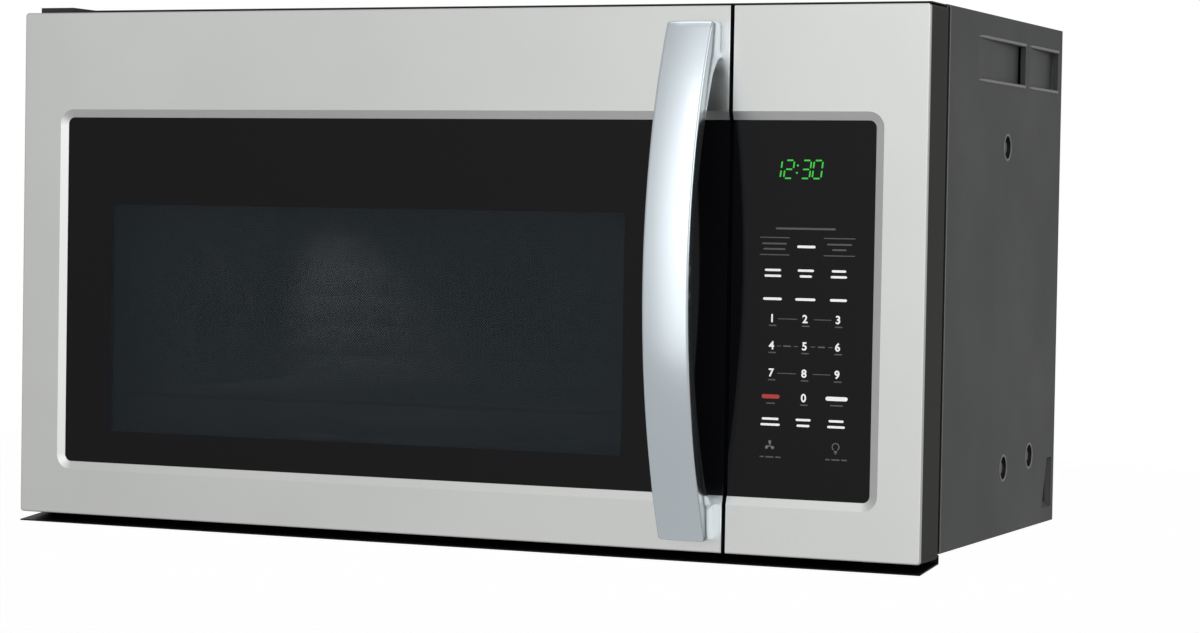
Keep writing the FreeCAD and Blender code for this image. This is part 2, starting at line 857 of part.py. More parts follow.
def skin(node, outer, inner, glass_edge):
    """The stainless front of the door or the panel: a C round the black glass, open to the gap.

    outer is the closed side's X, inner the X at the gap and glass_edge the glass recess's side.
    """
    body = new_body(node)
    hand = 1 if inner.number > outer.number else -1
    rim = hand * s.skin_rim
    bevel = s.bevel_width + s.skin_rim
    outline = sketch_on(body, "xz", node + "_outline", glass_front)
    draw_outline(outline, [
        (outer, fascia_foot), (inner, fascia_foot), (inner, glass_foot), (glass_edge, glass_foot),
        (glass_edge, glass_head), (inner, glass_head), (inner, fascia_head), (outer, fascia_head)])
    pad(body, outline, s.skin_depth, node + "_plate")
    hollow = sketch_on(body, "xz", node + "_hollow", glass_front)
    draw_outline(hollow, [
        (outer + rim, fascia_foot + s.skin_rim),
        (inner - rim, fascia_foot + s.skin_rim),
        (inner - rim, glass_foot - bevel),
        (glass_edge - hand * bevel, glass_foot - bevel),
        (glass_edge - hand * bevel, glass_head + bevel),
        (inner - rim, glass_head + bevel),
        (inner - rim, fascia_head - s.skin_rim),
        (outer + rim, fascia_head - s.skin_rim)])
    pocket(body, hollow, s.skin_depth - s.skin_rim, node + "_back", reverse=True)
    round_edges(body, node + "_corners", lambda p: near(p.x, glass_edge)
                and (near(p.z, glass_foot) or near(p.z, glass_head)), s.glass_corner)
    round_edges(body, node + "_outer_corners", lambda p: near(p.x, outer)
                and (near(p.z, fascia_foot) or near(p.z, fascia_head)), s.case_corner)
    bevel_opening(body, node, glass_edge, hand)
    round_edges(body, node + "_edge", lambda p: near(p.y, face_y) and (
        near(p.x, outer) or near(p.z, fascia_foot) or near(p.z, fascia_head)), s.skin_edge)
    return body


def bevel_opening(body, node, glass_edge, hand):
    """The wide shallow bevel round the glass recess."""
    doc.recompute()
    base = body.Tip
    inset = s.glass_corner.number

    def on_recess(spot):
        beside = (spot.x - glass_edge.number) * hand
        return (near(spot.y, face_y) and -1e-4 < beside
                and glass_foot.number - 1e-4 < spot.z < glass_head.number + 1e-4
                and (beside < inset or spot.z < glass_foot.number + inset
                     or spot.z > glass_head.number - inset)
                and (near(spot.x, glass_edge) or near(spot.z, glass_foot) or near(spot.z, glass_head)
                     or beside < inset))

    item = body.newObject("PartDesign::Chamfer", node + "_bevel")
    names = []
    for index, edge in enumerate(base.Shape.Edges, 1):
        first, last = edge.ParameterRange
        if all(on_recess(edge.valueAt(first + (last - first) * step)) for step in (0, 0.5, 1)):
            names.append("Edge%d" % index)
    item.Base = (base, names)
    item.ChamferType = "Two distances"
    bind(item, "Size", s.bevel_depth)
    bind(item, "Size2", s.bevel_width)
    return item


def screw_holes(body, reach, side_y):
    """Two round holes for the handle's screws, from one level towards the other."""
    for name, z in handle_screw_levels():
        hole = sketch_on(body, "xz", "%s_%s_hole_circle" % (body.Name, name), side_y)
        ring = hole.addGeometry(Part.Circle(V(handle_screw_x().number, z.number, 0), V(0, 0, 1),
                                            s.handle_screw_radius.number))
        pin_point(hole, ring, 3, (handle_screw_x(), z))
        size = hole.addConstraint(Sketcher.Constraint("Radius", ring, s.handle_screw_radius.number))
        bind(hole, "Constraints[%d]" % size, s.handle_screw_radius + s.running_gap)
        pocket(body, hole, reach, "%s_%s_hole" % (body.Name, name), reverse=True)


def door_skin():
    body = skin("door_skin", door_left, door_right, door_glass_left)
    screw_holes(body, s.skin_depth, glass_front)
    return body


def control_skin():
    return skin("control_skin", panel_right, panel_left, panel_glass_right)


def glass_pane(name, low_x, high_x):
    return block(name, (low_x, glass_front, glass_foot - s.glass_tuck),
                 (high_x, glass_back, glass_head + s.glass_tuck))


def door_glass():
    return glass_pane("door_pane", door_glass_left - s.glass_tuck, door_right)


def control_glass():
    return glass_pane("control_pane", panel_left, panel_glass_right + s.glass_tuck)


def case_shell(name, left, right, back):
    """A moulded case: full outline, a pocket for the glass in front and hollow from behind."""
    return cut(name + "_hollowed",
               block(name + "_block", (left, glass_front, fascia_foot), (right, back, fascia_head)),
               block(name + "_hollow", (left + s.case_wall, web_back, fascia_foot + s.case_wall),
                     (right - s.case_wall, back + gauge, fascia_head - s.case_wall)))


def corner_trims(name, outer, hand, back):
    """What rounds the two outer corners of a case, as far back as the case goes."""
    radius = s.case_corner
    trims = []
    for level, z, up in (("foot", fascia_foot, 1), ("head", fascia_head, -1)):
        centre = (outer + hand * radius, glass_front - 2 * gauge, z + up * radius)
        far = (outer - hand * gauge, z - up * gauge)
        low = (centre[0] if hand < 0 else far[0], glass_front - gauge, centre[2] if up < 0 else far[1])
        high = (far[0] if hand < 0 else centre[0], back + gauge, far[1] if up < 0 else centre[2])
        trims.append(cut("%s_trim_%s" % (name, level), block("%s_square_%s" % (name, level), low, high),
                         rod("%s_round_%s" % (name, level), centre, "y", radius,
                             back - glass_front + 4 * gauge)))
    return trims


def door_case():
    back = case_back
    shell = case_shell("door_case", door_left, door_right, back)
    bosses = []
    taken = [block("door_glass_seat", (door_glass_left - s.glass_tuck, glass_front - gauge,
                                       glass_foot - s.glass_tuck),
                   (door_right + gauge, glass_back, glass_head + s.glass_tuck)),
             block("door_window", (door_left + s.window_left, glass_front,
                                   fascia_foot + s.window_bottom),
                   (door_right - s.window_right, web_back + gauge, fascia_head - s.window_top))]
    bosses.append(block("door_return", (door_left, back - s.case_wall, fascia_foot),
                        (choke_left - s.fit_gap, back, fascia_head)))
    depth = s.pin_length + s.case_wall
    for name, low in (("lower", fascia_foot), ("upper", fascia_head - depth)):
        bosses.append(rod(name + "_boss", (hinge_x, hinge_y, low), "z", s.hinge_boss, depth))
        taken.append(rod(name + "_pin_bore", (hinge_x, hinge_y, low - gauge), "z",
                         s.pin_radius + s.running_gap, depth + 2 * gauge))
    for name, z in handle_screw_levels():
        taken.append(rod(name + "_case_hole", (handle_screw_x(), glass_front - gauge, z), "y",
                         s.handle_screw_radius + s.running_gap, 4 * s.case_wall))
    taken.extend(corner_trims("door_case", door_left, 1, back))
    return cut("door_case", fuse("door_case_solid", shell, *bosses), *taken)


def handle_screw_x():
    return door_right - s.handle_inset - s.handle_width / 2


def handle_top_z():
    return fascia_head - s.handle_top


def handle_bottom_z():
    return fascia_foot + s.handle_bottom


def handle_screw_levels():
    return (("lower", handle_bottom_z() + s.handle_foot / 2), ("upper", handle_top_z() - s.handle_foot / 2))


def handle():
    """A flat bar bowed away from the door, on two feet, drawn from its side outline."""
    body = new_body("handle")
    right = door_right - s.handle_inset
    top, bottom = handle_top_z(), handle_bottom_z()
    middle = (top + bottom) / 2
    end_y = face_y - s.handle_end_reach
    crown_y = face_y - s.handle_reach
    inner_y = crown_y + s.handle_bar
    half = (top - bottom) / 2
    bow = s.handle_reach - s.handle_end_reach
    front_radius = (half * half + bow * bow) / (2 * bow)
    back_half = half - s.handle_foot
    back_start = face_y - s.handle_heel
    back_bow = back_start - inner_y
    back_radius = (back_half * back_half + back_bow * back_bow) / (2 * back_bow)
    outline = sketch_on(body, "yz", "handle_outline", right - s.handle_width)
    draw_outline(outline, [
        (face_y, top),
        (end_y, top),
        (end_y, bottom, (crown_y, middle), front_radius),
        (face_y, bottom),
        (face_y, bottom + s.handle_foot),
        (back_start, bottom + s.handle_foot),
        (back_start, top - s.handle_foot, (inner_y, middle), back_radius),
        (face_y, top - s.handle_foot),
    ])
    pad(body, outline, s.handle_width, "handle_bar")
    left = right - s.handle_width

    def front_edge(spot):
        beside = near(spot.x, left) or near(spot.x, right)
        return beside and spot.y < end_y.number + 1e-4

    round_edges(body, "handle_soft_edges", front_edge, s.handle_edge)
    screw_holes(body, s.handle_end_reach - s.case_wall, face_y)
    return body


def door_screws():
    """The two screws that hold the handle's feet, their heads behind the case's web."""
    screws = []
    for name, z in handle_screw_levels():
        screws.append(fuse(
            name + "_handle_screw",
            rod(name + "_screw_head", (handle_screw_x(), web_back, z), "y", s.screw_head,
                s.screw_head_height),
            rod(name + "_screw_shank", (handle_screw_x(), face_y - 3 * s.case_wall, z), "y",
                s.handle_screw_radius, web_back - face_y + 3 * s.case_wall + gauge)))
    return group("handle_screws", *screws)


# ---------------------------------------------------------------- door inner

def door_screen():
    """The steel inner of the door: a tray with its floor behind the window, walls to the case's web."""
    return cut("screen",
               block("screen_block", (choke_left, web_back, choke_foot),
                     (choke_right, choke_front, choke_head)),
               block("screen_hollow", (choke_left + gauge, web_back - gauge, choke_foot + gauge),
                     (choke_right - gauge, choke_front - gauge, choke_head - gauge)))


def spring_head():
    return choke_head - s.latch_room


def pane_limits():
    low = (cavity_left + s.choke_overlap, choke_front, cavity_floor + s.choke_overlap)
    high = (cavity_right - s.choke_overlap, choke_front + s.pane_gauge, cavity_ceiling - s.choke_overlap)
    return low, high


def choke_cover():
    """The plastic cover of the door's back, round the inner pane, with the latch's windows."""
    low, high = pane_limits()
    edge = s.case_wall + s.fit_gap
    right = door_right - edge
    ring = block("choke_block", (choke_left, choke_front, fascia_foot + edge),
                 (right, door_back, fascia_head - edge))
    mouth = block("choke_mouth", (low[0], choke_front - gauge, low[2]), (high[0], door_back + gauge,
                                                                         high[2]))
    slots = [hook_window("choke_slot_" + name, level, choke_front - gauge, door_back + gauge,
                         s.latch_room)
             for name, level in (("upper", hook_upper), ("lower", hook_lower))]
    strip = block("choke_strip", (choke_right + s.fit_gap, web_back, choke_foot),
                  (choke_right + s.fit_gap + gauge, choke_front, choke_head))
    rib = block("choke_rib", (hook_x - s.hook_gauge, choke_front - 2 * s.latch_bar, spring_head()),
                (hook_x + s.hook_gauge, choke_front, spring_head() + 2 * gauge))
    return cut("choke", fuse("choke_solid", ring, strip, rib), mouth, *slots)


def door_inner_pane():
    low, high = pane_limits()
    return block("inner_pane", low, high)


def latch_hooks():
    """Two hooks on one upright bar: the lower edges of the noses catch, the whole lifts."""
    low_x, high_x = hook_x - s.hook_gauge / 2, hook_x + s.hook_gauge / 2
    bar_back = choke_front - 4 * s.latch_room
    bar_front = bar_back - s.latch_bar
    tip = cavity_front + s.hook_reach
    parts = [block("latch_upright", (low_x, bar_front, hook_lower - s.hook_height),
                   (high_x, bar_back, hook_upper + s.hook_height * 2))]
    for name, level in (("upper", hook_upper), ("lower", hook_lower)):
        parts.append(prism(name + "_hook", "yz", [
            (bar_front, level),
            (tip - 2 * s.hook_nose, level),
            (tip - s.hook_nose, level - s.hook_nose),
            (tip, level),
            (tip, level + s.hook_height),
            (bar_front, level + s.hook_height),
        ], low_x, high_x))
    return fuse("latch_pair", *parts)


def latch_spring():
    """A bowed leaf between a rib of the choke cover and the head of the latch bar."""
    low_x, high_x = hook_x - s.hook_gauge / 2, hook_x + s.hook_gauge / 2
    bar_back = choke_front - 4 * s.latch_room
    bar_front = bar_back - s.latch_bar
    foot = hook_upper + s.hook_height * 2
    rise = spring_head() - foot
    middle = bar_front + s.latch_bar / 2
    leaf = gauge / 2
    return prism("leaf", "yz", [
        (middle - leaf, foot),
        (middle + leaf, foot),
        (bar_back + leaf, foot + rise / 2),
        (middle + leaf, foot + rise),
        (middle - leaf, foot + rise),
        (bar_back - leaf, foot + rise / 2),
    ], low_x, high_x)


def latch_board():
    """The plastic catch behind the front frame, with a window for each hook."""
    left, right = cavity_right + 2 * gauge, hook_x + s.hook_inset
    low, high = hook_lower - 3 * s.hook_height, hook_upper + 3 * s.hook_height
    back = cavity_front + s.hook_reach + 2 * s.case_wall
    frame = cut("latch_frame",
                block("latch_block", (left, cavity_front, low), (right, back, high)),
                block("latch_room_mid", (left - gauge, cavity_front + s.case_wall,
                                         hook_lower + 2 * s.hook_height),
                      (right + gauge, back + gauge, hook_upper - 2 * s.hook_height)))
    windows = [hook_window("board_slot_" + name, level, cavity_front - gauge,
                           cavity_front + s.hook_reach + s.case_wall, s.latch_room)
               for name, level in (("upper", hook_upper), ("lower", hook_lower))]
    return cut("latch_catch", frame, *windows)


def interlock_switches():
    """Three small switches behind the catch's web."""
    switches = []
    low_z = hook_lower + 3 * s.hook_height
    front = cavity_front + s.case_wall
    for index in range(3):
        z = low_z + index * (s.switch_height + 6 * s.latch_room)
        body = block("switch_body_%d" % index, (hook_x - s.switch_width / 2, front, z),
                     (hook_x + s.switch_width / 2, front + s.switch_depth, z + s.switch_height))
        legs = [block("switch_leg_%d_%d" % (index, leg),
                      (hook_x - gauge / 2, front + s.switch_depth,
                       z + (leg + 1) * s.switch_height / 4 - gauge / 2),
                      (hook_x + gauge / 2, front + s.switch_depth + 4 * gauge,
                       z + (leg + 1) * s.switch_height / 4 + gauge / 2)) for leg in range(3)]
        switches.append(fuse("switch_%d" % index, body, *legs))
    return group("switches", *switches)


# ---------------------------------------------------------------- control panel

def control_case():
    shell = case_shell("control_case", panel_left, panel_right, body_front)
    seat = block("control_glass_seat", (panel_left - gauge, glass_front - gauge,
                                        glass_foot - s.glass_tuck),
                 (panel_glass_right + s.glass_tuck, glass_back, glass_head + s.glass_tuck))
    low, high = display_limits()
    window = block("display_window", (low[0] - s.fit_gap, glass_back - gauge, low[2] - s.fit_gap),
                   (high[0] + s.fit_gap, web_back + gauge, high[2] + s.fit_gap))
    posts = []
    for index, (x, z) in enumerate(board_corners()):
        posts.append(rod("board_post_%d" % index, (x, glass_back + gauge, z), "y", s.case_wall,
                         board_front() - glass_back - gauge))
    seam = block("control_seam", (panel_right - s.case_wall - gauge, body_front - s.case_seam,
                                  fascia_foot - gauge),
                 (panel_right + gauge, body_front + gauge, fascia_head + gauge))
    return cut("control_case", fuse("control_case_solid", shell, *posts), seat, window, seam,
               *corner_trims("control_case", panel_right, -1, body_front))


def display_limits():
    low_x = panel_left + s.display_left
    high_z = fascia_head - s.display_drop
    return ((low_x, glass_back, high_z - s.display_height),
            (low_x + s.display_width, board_front(), high_z))


def board_front():
    return glass_back + s.board_back


def board_limits():
    return ((panel_left + 4 * s.case_wall, board_front(), glass_foot + 4 * s.case_wall),
            (panel_right - 8 * s.case_wall, board_front() + s.board_gauge, glass_head - 4 * s.case_wall))


def board_corners():
    low, high = board_limits()
    inset = 2 * s.case_wall
    return [(x, z) for x in (low[0] + inset, high[0] - inset) for z in (low[2] + inset, high[2] - inset)]


def control_board():
    """The circuit board with its display block, relays and connectors."""
    low, high = board_limits()
    show_low, show_high = display_limits()
    parts = [block("board", low, high), block("display", show_low, show_high)]
    for index in range(4):
        z = low[2] + (3 + 7 * index) * s.case_wall
        parts.append(block("relay_%d" % index, (low[0] + 5 * s.case_wall, high[1], z),
                           (low[0] + 10 * s.case_wall, high[1] + 4 * s.case_wall, z + 5 * s.case_wall)))
    parts.append(block("board_transformer", (high[0] - 14 * s.case_wall, high[1], low[2] + 4 * s.case_wall),
                       (high[0] - 3 * s.case_wall, high[1] + 7 * s.case_wall, low[2] + 14 * s.case_wall)))
    return fuse("control_board", *parts)


# ---------------------------------------------------------------- cavity

def cavity_liner():
    tube = cut("liner_tube",
               block("liner_block", (cavity_left - gauge, cavity_front, cavity_floor - gauge),
                     (cavity_right + gauge, cavity_rear, cavity_ceiling + gauge)),
               block("liner_room", (cavity_left, cavity_front - gauge, cavity_floor),
                     (cavity_right, cavity_rear + gauge, cavity_ceiling)))
    pegs = []
    peg_top = cavity_floor + s.rack_level - s.rack_rod
    for end, y in (("front", cavity_front + s.rack_inset), ("back", cavity_rear - s.rack_inset)):
        for name, x in (("left", cavity_left), ("right", cavity_right - s.rack_peg)):
            pegs.append(block("rack_peg_%s_%s" % (name, end),
                              (x, y - s.rack_peg_width / 2, peg_top - s.rack_peg),
                              (x + s.rack_peg, y + s.rack_peg_width / 2, peg_top)))
    walls = fuse("liner_walls", tube, *pegs)
    taken = [rod("liner_drive_hole", (cavity_mid, cavity_middle_y, cavity_floor - 2 * gauge), "z",
                 2 * s.drive_shaft, 3 * gauge)]
    low, high = guide_limits()
    taken.append(block("liner_guide_port", (cavity_right - gauge, low[1] + 3 * s.case_wall,
                                            low[2] + 4 * s.case_wall),
                       (cavity_right + 2 * gauge, high[1] - 3 * s.case_wall, high[2] - 4 * s.case_wall)))
    low, high = lamp_socket_limits()
    for column in range(3):
        for row in range(3):
            taken.append(rod("light_hole_%d_%d" % (column, row),
                             (cavity_right - gauge, low[1] + (column + 1) * (high[1] - low[1]) / 4,
                              low[2] + (row + 1) * (high[2] - low[2]) / 4), "x", s.vent_hole * 0.8,
                             3 * gauge))
    for ring, count in ((0.18, 6), (0.36, 12), (0.54, 18), (0.9, 28)):
        for step in range(count):
            angle = 2 * math.pi * step / count
            radius = ring * s.convection_radius
            taken.append(rod("air_hole_%d_%d" % (int(ring * 100), step),
                             (cavity_mid + radius * math.cos(angle),
                              convection_y() + radius * math.sin(angle), cavity_ceiling - gauge),
                             "z", s.vent_hole, 3 * gauge))
    return cut("liner", walls, *taken)


def cavity_back():
    """The rear wall of the cavity with its field of pressed pyramids, built facet by facet."""
    left, right = number_of(cavity_left - gauge), number_of(cavity_right + gauge)
    low, high = number_of(cavity_floor - gauge), number_of(cavity_ceiling + gauge)
    front, back = cavity_rear.number, number_of(cavity_rear + gauge)
    pitch_x, pitch_z = s.pyramid_pitch_x.number, s.pyramid_pitch_z.number
    columns = int((cavity_right - cavity_left - 4 * s.roller_radius).number / pitch_x)
    rows = int((cavity_ceiling - cavity_floor - 2 * s.roller_radius).number / pitch_z)
    start_x = cavity_mid.number - columns * pitch_x / 2
    start_z = (low + high) / 2 - rows * pitch_z / 2
    faces = []

    def face(*corners):
        points = [V(*corner) for corner in corners]
        faces.append(Part.Face(Part.makePolygon(points + points[:1])))

    end_x, end_z = start_x + columns * pitch_x, start_z + rows * pitch_z
    for column in range(columns):
        for row in range(rows):
            x, z = start_x + column * pitch_x, start_z + row * pitch_z
            corners = [(x, front, z), (x + pitch_x, front, z), (x + pitch_x, front, z + pitch_z),
                       (x, front, z + pitch_z)]
            tip = (x + pitch_x / 2, front - s.pyramid_height.number, z + pitch_z / 2)
            for index in range(4):
                face(corners[index], corners[(index + 1) % 4], tip)
    margin = Part.Face(Part.makePolygon([V(left, front, low), V(right, front, low), V(right, front, high),
                                         V(left, front, high), V(left, front, low)]))
    field = Part.Face(Part.makePolygon([V(start_x, front, start_z), V(end_x, front, start_z),
                                        V(end_x, front, end_z), V(start_x, front, end_z),
                                        V(start_x, front, start_z)]))
    faces.extend(margin.cut(field).Faces)
    face((left, back, low), (right, back, low), (right, back, high), (left, back, high))
    face((left, front, low), (right, front, low), (right, back, low), (left, back, low))
    face((left, front, high), (right, front, high), (right, back, high), (left, back, high))
    face((left, front, low), (left, front, high), (left, back, high), (left, back, low))
    face((right, front, low), (right, front, high), (right, back, high), (right, back, low))
    shell = Part.makeShell(faces)
    shell.sewShape()
    solid = Part.makeSolid(shell)
    if solid.Volume < 0:
        solid.reverse()
    item = doc.addObject("Part::Feature", "back_wall")
    item.Shape = solid
    return item


def wire_rack():
    """A wire shelf whose front and back rods rest on four pegs of the cavity's side walls."""
    level = cavity_floor + s.rack_level
    left, right = cavity_left + s.rack_margin, cavity_right - s.rack_margin
    front, back = cavity_front + s.rack_inset, cavity_rear - s.rack_inset
    rods = []
    for name, y in (("front", front), ("back", back)):
        rods.append(rod("rack_%s" % name, (cavity_left + s.rack_end_gap, y, level), "x", s.rack_rod,
                        cavity_right - cavity_left - 2 * s.rack_end_gap))
    for name, x in (("left", left), ("right", right)):
        rods.append(rod("rack_%s" % name, (x, front, level), "y", s.rack_side, back - front))
    count = int((right.number - left.number) / s.rack_pitch.number)
    for index in range(1, count):
        x = left + index * s.rack_pitch
        rods.append(rod("rack_wire_%d" % index, (x, front, level + s.rack_rod), "y", s.rack_wire,
                        back - front))
    return fuse("rack", *rods)


def lamp_socket_limits():
    low = (cavity_right + gauge, cavity_rear - 4 * s.bulb_radius, cavity_ceiling - 5 * s.bulb_radius)
    high = (low[0] + 2 * s.bulb_radius, low[1] + 3 * s.bulb_radius, low[2] + 3 * s.bulb_radius)
    return low, high


def cavity_lamp():
    """The lamp's box on the liner's right wall, open to its holes, with the socket behind."""
    low, high = lamp_socket_limits()
    box = cut("lamp_box", block("lamp_box_block", low, high),
              block("lamp_box_room", (low[0] - gauge, low[1] + gauge, low[2] + gauge),
                    (high[0] - gauge, high[1] - gauge, high[2] - gauge)))
    y, z = low[1] + 1.5 * s.bulb_radius, low[2] + 1.5 * s.bulb_radius
    base = rod("lamp_base", (high[0] - gauge, y, z), "x", s.bulb_radius, 2 * s.bulb_radius)
    bulb = rod("lamp_bulb", (low[0] + 2 * gauge, y, z), "x", s.bulb_radius * 0.8,
               2 * s.bulb_radius - 2 * gauge)
    return fuse("cavity_lamp", box, base, bulb)


# ---------------------------------------------------------------- turntable

def tray_underside():
    return cavity_floor + 2 * s.roller_radius + 2 * s.roller_gap


def roller_level():
    return cavity_floor + s.roller_radius + s.roller_gap


def turntable_motor():
    top = cavity_floor - gauge
    body = rod("table_motor_body", (cavity_mid, cavity_middle_y, top - s.motor_height), "z",
               s.motor_radius, s.motor_height)
    ears = block("table_motor_ears", (cavity_mid - s.motor_radius - 3 * s.case_wall,
                                      cavity_middle_y - 2 * s.case_wall, top - gauge),
                 (cavity_mid + s.motor_radius + 3 * s.case_wall, cavity_middle_y + 2 * s.case_wall, top))
    bore = rod("table_motor_bore", (cavity_mid, cavity_middle_y, top - s.motor_height * 0.75), "z",
               s.drive_shaft + s.running_gap, s.motor_height)
    return cut("table_motor", fuse("table_motor_solid", body, ears), bore)


def drive_coupler():
    """The three-lobed hub under the tray, on the motor's shaft."""
    foot = cavity_floor + s.hub_lift
    top = tray_underside()
    shaft_low = cavity_floor - gauge - s.motor_height * 0.7
    parts = [rod("coupler_shaft", (cavity_mid, cavity_middle_y, shaft_low), "z", s.drive_shaft,
                 top - shaft_low),
             rod("coupler_hub", (cavity_mid, cavity_middle_y, foot), "z", s.hub_radius * 0.5, top - foot)]
    for index in range(3):
        angle = math.radians(120 * index + 30)
        reach = s.hub_radius * 0.55
        parts.append(rod("coupler_lobe_%d" % index,
                         (cavity_mid + reach * math.cos(angle), cavity_middle_y + reach * math.sin(angle),
                          foot), "z", s.hub_radius * 0.45, top - foot))
    return fuse("coupler", *parts)


def glass_tray():
    """The round tray, turned about its own axis: flat bottom, sloping rim with a lip."""
    body = new_body("glass_tray")
    profile = sketch_on(body, "xz", "tray_profile", cavity_middle_y)
    under = tray_underside()
    over = under + s.tray_gauge
    brim = over + s.tray_rim
    foot = tray_radius - 3 * s.tray_gauge
    draw_outline(profile, [
        (cavity_mid, under),
        (cavity_mid + foot, under),
        (cavity_mid + tray_radius, brim - s.tray_gauge / 2),
        (cavity_mid + tray_radius, brim),
        (cavity_mid + tray_radius - s.tray_gauge / 2, brim),
        (cavity_mid + foot - s.tray_gauge / 2, over),
        (cavity_mid, over),
    ])
    axis = body.newObject("PartDesign::Line", "tray_axis")
    axis.AttachmentSupport = ([f for f in body.Origin.OriginFeatures if f.Role == "Z_Axis"][0], [""])
    axis.MapMode = "TwoPointLine"
    turn = body.newObject("PartDesign::Revolution", "tray_turned")
    turn.Profile = profile
    turn.ReferenceAxis = (profile, ["Edge7"])
    turn.Angle = 360
    return body


def roller_ring():
    """The ring that carries the three rollers under the tray."""
    level = roller_level()
    low = level - s.ring_height / 2
    ring = cut("ring_band",
               rod("ring_outside", (cavity_mid, cavity_middle_y, low), "z", s.ring_outer_radius, s.ring_height),
               rod("ring_inside", (cavity_mid, cavity_middle_y, low - gauge), "z", s.ring_inner_radius,
                   s.ring_height + 2 * gauge))
    axles = []
    for index in range(3):
        axles.append(radial_rod("roller_axle_%d" % index, index, s.ring_inner_radius + gauge,
                                s.roller_circle + s.roller_width / 2 + gauge, s.roller_axle, level))
        axles.append(radial_rod("roller_cap_%d" % index, index,
                                s.roller_circle + s.roller_width / 2 + s.fit_gap,
                                s.roller_circle + s.roller_width / 2 + gauge + s.fit_gap,
                                1.6 * s.roller_axle, level))
    return fuse("ring", ring, *axles)


ROLLER_ANGLES = (90, 210, 330)


def radial_rod(name, index, inner, outer, radius, level):
    """A cylinder that points away from the tray's axis."""
    angle = math.radians(ROLLER_ANGLES[index])
    item = doc.addObject("Part::Cylinder", name)
    bind(item, "Radius", radius)
    bind(item, "Height", outer - inner)
    turn = FreeCAD.Rotation(V(0, 0, 1), V(math.cos(angle), math.sin(angle), 0))
    place(item, (cavity_mid + inner * math.cos(angle), cavity_middle_y + inner * math.sin(angle), level),
          turn)
    return item


def roller(index):
    inner = s.roller_circle - s.roller_width / 2
    outer = s.roller_circle + s.roller_width / 2
    wheel = radial_rod("roller_wheel_%d" % index, index, inner, outer, s.roller_radius, roller_level())
    bore = radial_rod("roller_bore_%d" % index, index, inner - gauge, outer + gauge,
                      s.roller_axle + s.running_gap, roller_level())
    return cut("roller_%d" % index, wheel, bore)


# ---------------------------------------------------------------- convection unit

def convection_y():
    """The fan unit stands just in front of the blower."""
    low, _ = duct_limits()
    return low[1] - s.convection_margin - s.convection_flange - s.convection_radius


def element_circle():
    return s.convection_radius - s.element_inset


def convection_housing():
    low = cavity_ceiling + gauge
    pan = cut("fan_pan",
              rod("pan_outside", (cavity_mid, convection_y(), low), "z", s.convection_radius + gauge,
                  s.convection_height + gauge),
              rod("pan_inside", (cavity_mid, convection_y(), low - gauge), "z", s.convection_radius,
                  s.convection_height + gauge))
    flange = cut("pan_flange",
                 rod("flange_outside", (cavity_mid, convection_y(), low), "z",
                     s.convection_radius + s.convection_flange, gauge),
                 rod("flange_inside", (cavity_mid, convection_y(), low - gauge), "z",
                     s.convection_radius, 3 * gauge))
    hole = rod("pan_hole", (cavity_mid, convection_y(), low + s.convection_height - gauge), "z",
               2 * s.convection_shaft, 3 * gauge)
    gaps = [rod("pan_leg_hole_%d" % index, leg, "z", s.element_radius + s.fit_gap, 3 * gauge)
            for index, leg in enumerate(element_legs(low + s.convection_height - gauge))]
    return cut("pan", fuse("pan_solid", pan, flange), hole, *gaps)


def element_legs(z):
    spread = 4 * s.element_radius
    return [(cavity_mid + element_circle(), convection_y() + hand * spread / 2, z) for hand in (-1, 1)]


def convection_element():
    """The ring heater round the fan with its two terminals through the pan."""
    level = cavity_ceiling + gauge + s.convection_height / 2
    ring = doc.addObject("Part::Torus", "element_ring")
    bind(ring, "Radius1", element_circle())
    bind(ring, "Radius2", s.element_radius)
    place(ring, (cavity_mid, convection_y(), level))
    legs = [rod("element_leg_%d" % index, leg, "z", s.element_radius * 0.9, s.convection_height)
            for index, leg in enumerate(element_legs(level))]
    top = cavity_ceiling + 2 * gauge + s.convection_height
    x, y = cavity_mid + element_circle(), convection_y()
    flange = block("element_flange", (x - 3 * s.element_radius, y - 5 * s.element_radius, top),
                   (x + 3 * s.element_radius, y + 5 * s.element_radius, top + gauge))
    return fuse("element", ring, *legs, flange)


def convection_fan():
    """A flat radial fan: a disc with eight upright blades, on the motor's shaft."""
    low = cavity_ceiling + gauge + s.convection_height / 2 - s.convection_fan_height / 2
    disc_z = low + s.convection_fan_height - gauge
    parts = [rod("fan_disc", (cavity_mid, convection_y(), disc_z), "z", (element_circle() - s.convection_fan_gap), gauge),
             rod("fan_hub", (cavity_mid, convection_y(), low), "z", 3 * s.convection_shaft,
                 s.convection_fan_height),
             rod("fan_shaft_up", (cavity_mid, convection_y(), low), "z", s.convection_shaft,
                 s.convection_height / 2 + s.convection_fan_height / 2 + gauge
                 + s.convection_motor_height / 2)]
    for index in range(8):
        parts.append(blade("fan_blade_%d" % index, 45 * index, (cavity_mid, convection_y(), low),
                           2 * s.convection_shaft, (element_circle() - s.convection_fan_gap) - gauge,
                           s.blade_gauge, s.convection_fan_height, 0))
    return fuse("oven_fan", *parts)


def blade(name, angle, centre, inner, outer, thick, height, lean):
    """An upright blade about a vertical axis, from inner to outer radius, turned by lean degrees."""
    item = doc.addObject("Part::Box", name)
    bind(item, "Length", outer - inner)
    bind(item, "Width", thick)
    bind(item, "Height", height)
    turn = FreeCAD.Rotation(V(0, 0, 1), angle + lean)
    radial = (math.cos(math.radians(angle)), math.sin(math.radians(angle)))
    across = (-math.sin(math.radians(angle + lean)), math.cos(math.radians(angle + lean)))
    x = centre[0] + inner * radial[0] - thick / 2 * across[0]
    y = centre[1] + inner * radial[1] - thick / 2 * across[1]
    place(item, (x, y, centre[2]), turn)
    return item


